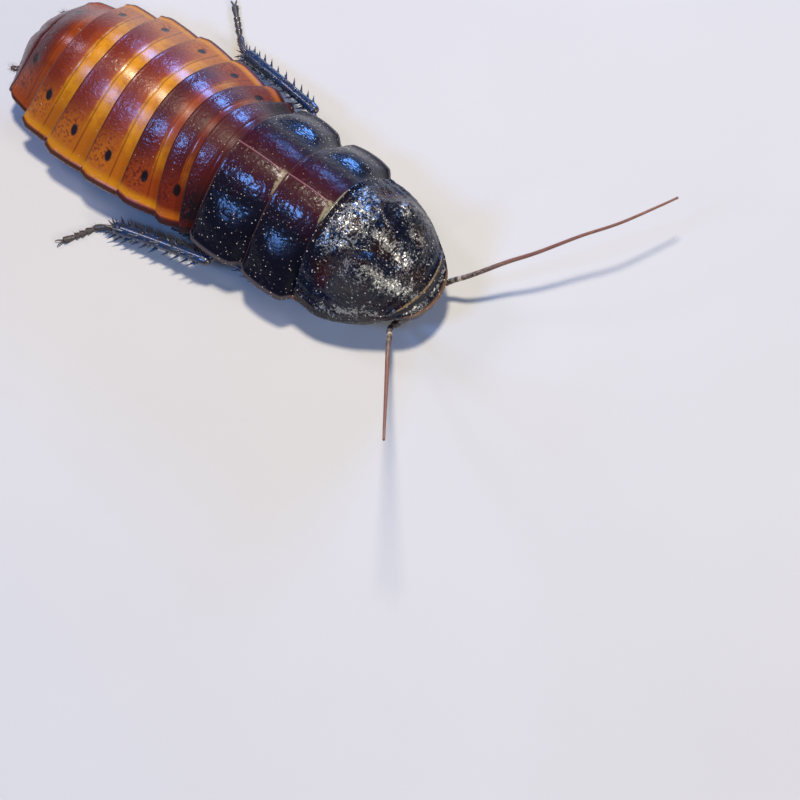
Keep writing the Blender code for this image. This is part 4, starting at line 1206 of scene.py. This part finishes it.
def make_bead_tree():
    """Strings one bead at each point of a line, sized by the mark bead and aimed by the aim marks."""
    tree, nodes, given = new_tree("feeler_beads", "Length")
    size, *aims = read_marks(nodes, "bead", "aim_x", "aim_y", "aim_z")
    turn = nodes("FunctionNodeAlignRotationToVector", {"axis": "Z"}, {"Vector": nodes.vector(*aims)})
    barrel = nodes("GeometryNodeMeshCone", {}, {"Vertices": 16, "Side Segments": 4, "Depth": 1.0,
                                                "Radius Bottom": 0.8, "Radius Top": 1.0}, "Mesh")
    spot = nodes("GeometryNodeInputPosition", {}, {})
    x, y, z = (nodes("ShaderNodeSeparateXYZ", {}, {0: spot}, axis) for axis in range(3))
    pinch = 1 - ((z - 0.62) * 1.35) ** 4
    rounder = nodes.vector(x * pinch, y * pinch, z - 0.5)
    barrel = nodes("GeometryNodeSetPosition", {}, {"Geometry": barrel, "Position": rounder})
    strung = nodes("GeometryNodeInstanceOnPoints", {},
                   {"Points": given["Geometry"], "Instance": barrel, "Rotation": turn,
                    "Scale": nodes.vector(size, size, given["Length"])})
    real = nodes("GeometryNodeRealizeInstances", {}, {"Geometry": strung})
    smooth = nodes("GeometryNodeSetShadeSmooth", {}, {"Geometry": real})
    end_tree(nodes, smooth, given["Material"])
    return tree


def paint_whip(nodes):
    part, cloud = nodes.mark("part"), nodes.noise(1.5)
    mottle = nodes.layers((0.030, 0.018, 0.014), (nodes.noise(0.35, 2.0).rise(0.42, 0.6), (0.20, 0.14, 0.10)))
    rings = abs(part - 0.021).rise(0.006, 0.002) + abs(part - 0.053).rise(0.010, 0.005)
    colour = nodes.layers(
        (0.10, 0.030, 0.018),
        (cloud, (0.24, 0.095, 0.050)),
        (part.rise(0.35, 0.1), mottle),
        (part.rise(0.05, 0.03), (0.012, 0.009, 0.009)),
        (rings * 0.8, (0.45, 0.38, 0.30)))
    return colour, 0.36 + 0.15 * cloud, 0.012 * nodes.noise(0.06, 2.0)


bead_tree = make_bead_tree()
whip_finish = finish("feeler_whip_horn", paint_whip, Coat_Weight=0.15)
root_finish = finish("feeler_root_horn", paint_feeler_root, Coat_Weight=0.4, Coat_Roughness=0.12)
for side, word in SIDES:
    path = through(FEELERS[word], 3000)
    gone = travelled(path)
    gone -= gone[int(np.argmin(np.linalg.norm(path - sockets[word], axis=1)))]

    def stretch(start, end, count):
        at = np.linspace(start, end, count)
        return np.stack([np.interp(at, gone, path[:, axis]) for axis in range(3)], -1)

    scape = stretch(-0.1, SCAPE_LENGTH, 60)
    part = np.linspace(0, 1, 60)
    scape = limb(scape, rounded_ends(scape, 0.36 + 0.14 * smooth_step(part, 0, 0.8)), 24,
                 joint=hill(part - 1.0, 0.06) + hill(part, 0.05))
    pedicel = stretch(SCAPE_LENGTH - 0.08, WHIP_FROM, 30)
    part = np.linspace(0, 1, 30)
    pedicel = limb(pedicel, rounded_ends(pedicel, 0.34 + 0.08 * smooth_step(part, 0, 1)), 24,
                   joint=hill(part - 1.0, 0.15))
    piece(f"feeler_root_{word}", scape + pedicel, root_finish)
    string = stretch(WHIP_FROM, gone[-1], BEADS)
    part = np.linspace(0, 1, BEADS)
    aim_x, aim_y, aim_z = unit(np.gradient(string, axis=0)).T
    radii = blend(part ** 0.7, WHIP_BASE_RADIUS, WHIP_TIP_RADIUS)
    line = Shape(string, [], bead=radii * MM, aim_x=aim_x, aim_y=aim_y, aim_z=aim_z, part=part)
    bead_length = (gone[-1] - WHIP_FROM) / (BEADS - 1) * BEAD_OVERLAP
    piece(f"feeler_whip_{word}", line, whip_finish, f"antenna_{word}",
          (bead_tree, {"Length": bead_length * MM}))

# Legs. Each has a broad flat root against the belly, a ring-like second joint with the thigh, a shin
# set with long black thorns, and a foot of five joints with pale pads, a pair of hooked claws and a
# pad between them. Black horn, glossy, with a blue reflection painted into its colour.
FOOT_Z = 0.36
FOOT_LEAST_RADIUS = 0.12
FOOT_PAD_DROP = 0.22
SHIN_ARCH = 0.25
ROOT_Z = 3.3
ROOT_END_Z = 3.1
# x and station of the root's front and rear end, for the left side
LEG_ROOTS = {"fore": ((3.6, 8.8), (1.9, 13.2)), "middle": ((5.6, 17.4), (2.3, 23.4)),
             "hind": ((6.4, 26.2), (2.6, 32.8))}
# knee and ankle, then x and station of the foot's bend and of its end
LEGS = {
    "fore_left": ((8.0, 9.7, 3.6), (7.9, 15.0, 1.1), (8.2, 16.8), (7.9, 19.4)),
    "fore_right": ((-7.6, 9.8, 3.6), (-7.5, 15.1, 1.1), (-7.7, 16.9), (-7.2, 19.4)),
    "middle_left": ((10.2, 20.8, 4.2), (9.6, 31.4, 1.1), (10.0, 33.4), (10.6, 37.2)),
    "middle_right": ((-9.8, 20.4, 4.2), (-9.0, 31.0, 1.1), (-9.2, 33.0), (-9.4, 36.8)),
    "hind_left": ((12.7, 30.2, 4.7), (15.75, 45.0, 1.2), (17.6, 47.3), (21.1, 51.1)),
    "hind_right": ((-11.7, 27.8, 4.7), (-14.35, 42.4, 1.2), (-15.4, 44.4), (-19.5, 46.8))}
# greatest radius of the root, the thigh, the shin and the foot
LEG_GIRTH = {"fore": (1.3, 0.85, 0.65, 0.42), "middle": (1.4, 1.0, 0.72, 0.44),
             "hind": (1.3, 1.15, 0.88, 0.48)}
# how many thorns a row of the shin has, and their length
SHIN_THORNS = {"fore": (5, 0.95), "middle": (8, 1.2), "hind": (11, 1.45)}
# places along a part of the leg, and the girth there as a share of the greatest
ROOT_FORM = ((0, 0.25, 0.5, 0.75, 1.0), (0.5, 0.92, 1.0, 0.7, 0.42))
THIGH_FORM = ((0, 0.06, 0.11, 0.15, 0.3, 0.5, 0.7, 0.88, 1.0),
              (0.46, 0.56, 0.55, 0.46, 0.84, 1.0, 0.92, 0.70, 0.5))
SHIN_FORM = ((0, 0.08, 0.2, 0.5, 0.8, 0.93, 1.0), (0.6, 0.85, 0.78, 0.84, 0.98, 1.08, 0.8))
FOOT_JOINT_FORM = ((-0.001, 0.0, 0.3, 0.85, 1.0, 1.001), (0, 0.5, 0.72, 1.0, 0.62, 0))
FOOT_JOINTS = (0.0, 0.40, 0.54, 0.66, 0.76, 1.0)
THIGH_SIDES = 36
SHIN_SIDES = 30
FOOT_ROWS = 200
FOOT_SIDES = 24
# ahead, aside and up from the end of the foot
CLAW = ((-0.15, 0, 0), (0.35, 0.22, 0.12), (0.75, 0.38, 0.02), (0.92, 0.42, -0.22))


def paint_leg(nodes):
    cloud = nodes.noise(1.0)
    colour = nodes.layers(
        # The blue base colour is a painted reflection of blue sky on black horn.
        (0.004, 0.022, 0.070),
        (cloud.rise(0.35, 0.7), (0.012, 0.012, 0.020)),
        (nodes.mark("joint").rise(0.3, 0.9) * 0.6, (0.05, 0.028, 0.020)),
        # Pale specks: partly dust, partly painted glints.
        (nodes.specks(0.5, 0.09, 0.7) * 0.8, (0.50, 0.44, 0.38)))
    return colour, 0.24 + 0.2 * cloud, 0.015 * nodes.noise(0.12, 2.0) + 0.04 * nodes.noise(0.6, 2.0)


def paint_foot(nodes):
    cloud = nodes.noise(0.6)
    colour = nodes.layers(
        (0.012, 0.011, 0.014),
        (cloud, (0.055, 0.042, 0.038)),
        (nodes.mark("joint").rise(0.3, 0.9) * 0.6, (0.16, 0.10, 0.06)),
        (nodes.mark("pad"), (0.48, 0.38, 0.26)))
    return colour, 0.34 + 0.2 * cloud, 0.015 * nodes.noise(0.1, 2.0)


def toward(a, b):
    return unit(b - a)


def straight(a, b, count):
    part = crowded_part(count, 1.5)
    return blend(part[:, None], a, b), part


def leg_part(a, b, rows, girth, form, sides, joints, flat=1.0, arch=0.0):
    """A straight part of a leg and its middle line. Joints are their places along it and their widths."""
    path, part = straight(a, b, rows)
    path[:, 2] += arch * np.sin(part * math.pi)
    bands = sum(hill(part - place, width) for place, width in joints)
    return limb(path, rounded_ends(path, girth * np.interp(part, *form)), sides, flat, joint=bands), path


def pad_between(a, b, girth, sides, height=None):
    """A soft, flat pad on the underside of the foot."""
    path, part = straight(a, b, 14)
    if height:
        path[:, 2] = height
    return limb(path, rounded_ends(path, girth), sides, 0.6, pad=1.0)


leg_finish = finish("leg_horn", paint_leg, Coat_Weight=0.5, Coat_Roughness=0.12, IOR=1.56)
foot_finish = finish("foot_horn", paint_foot, Coat_Weight=0.15)
for name, (knee, ankle, bend, toe) in LEGS.items():
    pair, word = name.split("_")
    root_girth, thigh_girth, shin_girth, foot_girth = LEG_GIRTH[pair]
    side = 1 if word == "left" else -1
    (base_x, base_station), (tip_x, tip_station) = LEG_ROOTS[pair]
    base = np.array([side * base_x, base_station, ROOT_Z])
    tip = np.array([side * tip_x, tip_station, ROOT_END_Z])
    knee, ankle, bend, toe = (np.array(place) for place in (knee, ankle, (*bend, FOOT_Z), (*toe, FOOT_Z)))
    rng = np.random.default_rng(len(name) + (3 if word == "left" else 11))

    root, path = leg_part(base, tip, 60, root_girth, ROOT_FORM, 32, ((1.0, 0.06),), flat=0.5)
    piece(f"leg_root_{name}", root, leg_finish, f"coxa_{name}")

    thigh_start = tip + toward(base, tip) * 0.75 + toward(tip, knee) * 0.55 - np.array([0, 0, 0.95])
    thigh, path = leg_part(thigh_start, knee, 110, thigh_girth, THIGH_FORM, THIGH_SIDES,
                           ((0.13, 0.02), (1.0, 0.03)), flat=0.72)
    underside = np.arange(38, 89, 10) * THIGH_SIDES + 27
    chosen = np.concatenate([underside - 3, underside + 3])
    aims = unit(outward(thigh, path, THIGH_SIDES, chosen)) + toward(tip, knee) * 0.5
    thigh = with_bristles(thigh, chosen, rng.uniform(0.4, 0.75, len(chosen)), aims)
    piece(f"thigh_{name}", thigh, leg_finish, f"femur_{name}", bristles(0.09, 0.012))

    shin_start = knee + toward(tip, knee) * 0.3 + toward(knee, ankle) * 0.1
    shin, path = leg_part(shin_start, ankle, 130, shin_girth, SHIN_FORM, SHIN_SIDES,
                          ((1.0, 0.03), (0.0, 0.03)), arch=SHIN_ARCH)
    thorns, thorn_length = SHIN_THORNS[pair]
    along = np.linspace(24, 122, thorns).astype(int)
    thorn_rows = {0: along, 9: along[::2] + 2, 15: along + 3, 22: along[1::2] + 1}
    chosen = np.concatenate([rings * SHIN_SIDES + (sector + rng.integers(-1, 2)) % SHIN_SIDES
                             for sector, rings in thorn_rows.items()])
    crown = 126 * SHIN_SIDES + np.arange(1, SHIN_SIDES, 5)
    small = rng.choice(np.arange(20 * SHIN_SIDES, 124 * SHIN_SIDES), thorns * 5, replace=False)
    small = small[~np.isin(small, chosen)]
    lengths = np.concatenate([rng.uniform(0.7, 1.0, len(chosen) + len(crown)),
                              rng.uniform(0.2, 0.45, len(small))])
    chosen = np.concatenate([chosen, crown, small])
    aims = unit(outward(shin, path, SHIN_SIDES, chosen)) + toward(knee, ankle) * 1.05
    shin = with_bristles(shin, chosen, thorn_length * lengths, aims)
    piece(f"shin_{name}", shin, leg_finish, f"tibia_{name}", bristles(0.17, 0.010, 8))

    path = through([ankle + toward(ankle, bend) * 0.15, bend, (bend + toe) / 2, toe], FOOT_ROWS)
    part = travelled(path) / travelled(path)[-1]
    ahead = toward(bend, toe)
    aside = np.cross(ahead, (0, 0, 1))
    girth = np.full_like(part, FOOT_LEAST_RADIUS)
    rings = np.zeros_like(part)
    pads = []
    for start, end in zip(FOOT_JOINTS, FOOT_JOINTS[1:]):
        swell = np.interp((part - start) / (end - start), *FOOT_JOINT_FORM)
        girth = np.maximum(girth, swell * foot_girth)
        rings = np.maximum(rings, hill(part - end, 0.012))
        if end < 1:
            at = path[int(np.searchsorted(part, end - 0.02))]
            pads.append(pad_between(at - ahead * 0.3, at + ahead * 0.22, 0.5 * foot_girth, 14,
                                    max(at[2] - FOOT_PAD_DROP, FOOT_LEAST_RADIUS)))
    foot = limb(path, rounded_ends(path, girth), FOOT_SIDES, 0.9, joint=rings)
    for turn_to in (1, -1):
        hook = through([toe + ahead * on + aside * off * turn_to + np.array([0, 0, up])
                        for on, off, up in CLAW], 30)
        foot += limb(hook, np.linspace(0.13, 0.03, 30), 10)
    foot += pad_between(toe, toe + ahead * 0.42, 0.17, 12)
    foot = sum(pads, foot)
    chosen = rng.choice(FOOT_ROWS * FOOT_SIDES, 70, replace=False)
    chosen = chosen[foot.points[chosen, 2] > 0.25]
    aims = unit(outward(foot, path, FOOT_SIDES, chosen)) + ahead * 0.8
    foot = with_bristles(foot, chosen, rng.uniform(0.25, 0.5, len(chosen)), aims)
    piece(f"foot_{name}", foot, foot_finish, f"tarsus_{name}", bristles(0.03, 0.004, 4))

# Studio. A plain pale floor under a small warm lamp high over the animal, two cool soft boxes at its
# sides and two pale ones before and behind it. The camera stands where the photographer's did, turned
# with the animal.
CAMERA_AT = (-102.44, -86.34, 287.75)
CAMERA_LOOK = (0.2910, 0.2704, -0.9177)
CAMERA_RIGHT = (0.60846, -0.79254, -0.04061)
CAMERA_LENS = 113.4
SENSOR = 36.0
FLOOR_HALF = 1.5
LAMPS_AIM_AT = (0, 34, 8)
# direction from the animal, distance and size in metres, power in watts, colour
LAMPS = {
    "warm_key": ((0.14, 0.02, 0.99), 0.45, 0.05, 2.6, (1.0, 0.90, 0.75)),
    "cool_side": ((0.95, 0.18, 0.36), 0.5, 0.13, 2.0, (0.14, 0.36, 1.0)),
    "cool_top": ((-0.60, 0.22, 0.76), 0.5, 0.10, 1.3, (0.16, 0.38, 1.0)),
    "pale_front": ((-0.05, -0.90, 0.42), 0.5, 0.10, 1.0, (1.0, 0.97, 0.92)),
    "pale_rear": ((-0.05, 0.72, 0.69), 0.5, 0.10, 0.6, (0.72, 0.70, 1.0))}


def body_place(x, station, z):
    return Vector(np.array([x, station, z]) * MM + ORIGIN)


def paint_floor(nodes):
    colour = nodes.layers((0.43, 0.42, 0.395), (nodes.noise(40.0), (0.47, 0.46, 0.435)))
    return colour, 0.8, 0.02 * nodes.noise(1.5)


floor_mesh = bpy.data.meshes.new("floor")
floor_corners = [(x * FLOOR_HALF, y * FLOOR_HALF, 0) for x, y in ((-1, -1), (1, -1), (1, 1), (-1, 1))]
floor_mesh.from_pydata(floor_corners, [], [(0, 1, 2, 3)])
floor_mesh.materials.append(finish("pale_floor", paint_floor))
floor = bpy.data.objects.new("floor", floor_mesh)
bpy.context.scene.collection.objects.link(floor)

target = body_place(*LAMPS_AIM_AT)
for name, (direction, distance, size, power, colour) in LAMPS.items():
    lamp = bpy.data.lights.new(name, "AREA")
    lamp.size, lamp.energy, lamp.color = size, power, colour
    item = bpy.data.objects.new(name, lamp)
    item.location = target + Vector(direction).normalized() * distance
    item.rotation_mode = "QUATERNION"
    item.rotation_quaternion = (item.location - target).to_track_quat("Z", "Y")
    bpy.context.scene.collection.objects.link(item)

world = bpy.data.worlds.new("studio")
world.use_nodes = True
world.node_tree.nodes["Background"].inputs["Color"].default_value = (0.85, 0.82, 0.76, 1.0)
world.node_tree.nodes["Background"].inputs["Strength"].default_value = 0.05
bpy.context.scene.world = world
bpy.context.scene.view_settings.view_transform = "Standard"

camera = bpy.data.objects.new("camera", bpy.data.cameras.new("camera"))
bpy.context.scene.collection.objects.link(camera)
look, right = Vector(CAMERA_LOOK).normalized(), Vector(CAMERA_RIGHT).normalized()
facing = Matrix((right, right.cross(look).normalized(), -look)).transposed()
camera.matrix_world = Matrix.Translation(body_place(*CAMERA_AT)) @ facing.to_4x4()
camera.data.lens, camera.data.sensor_width = CAMERA_LENS, SENSOR
bpy.context.scene.camera = camera
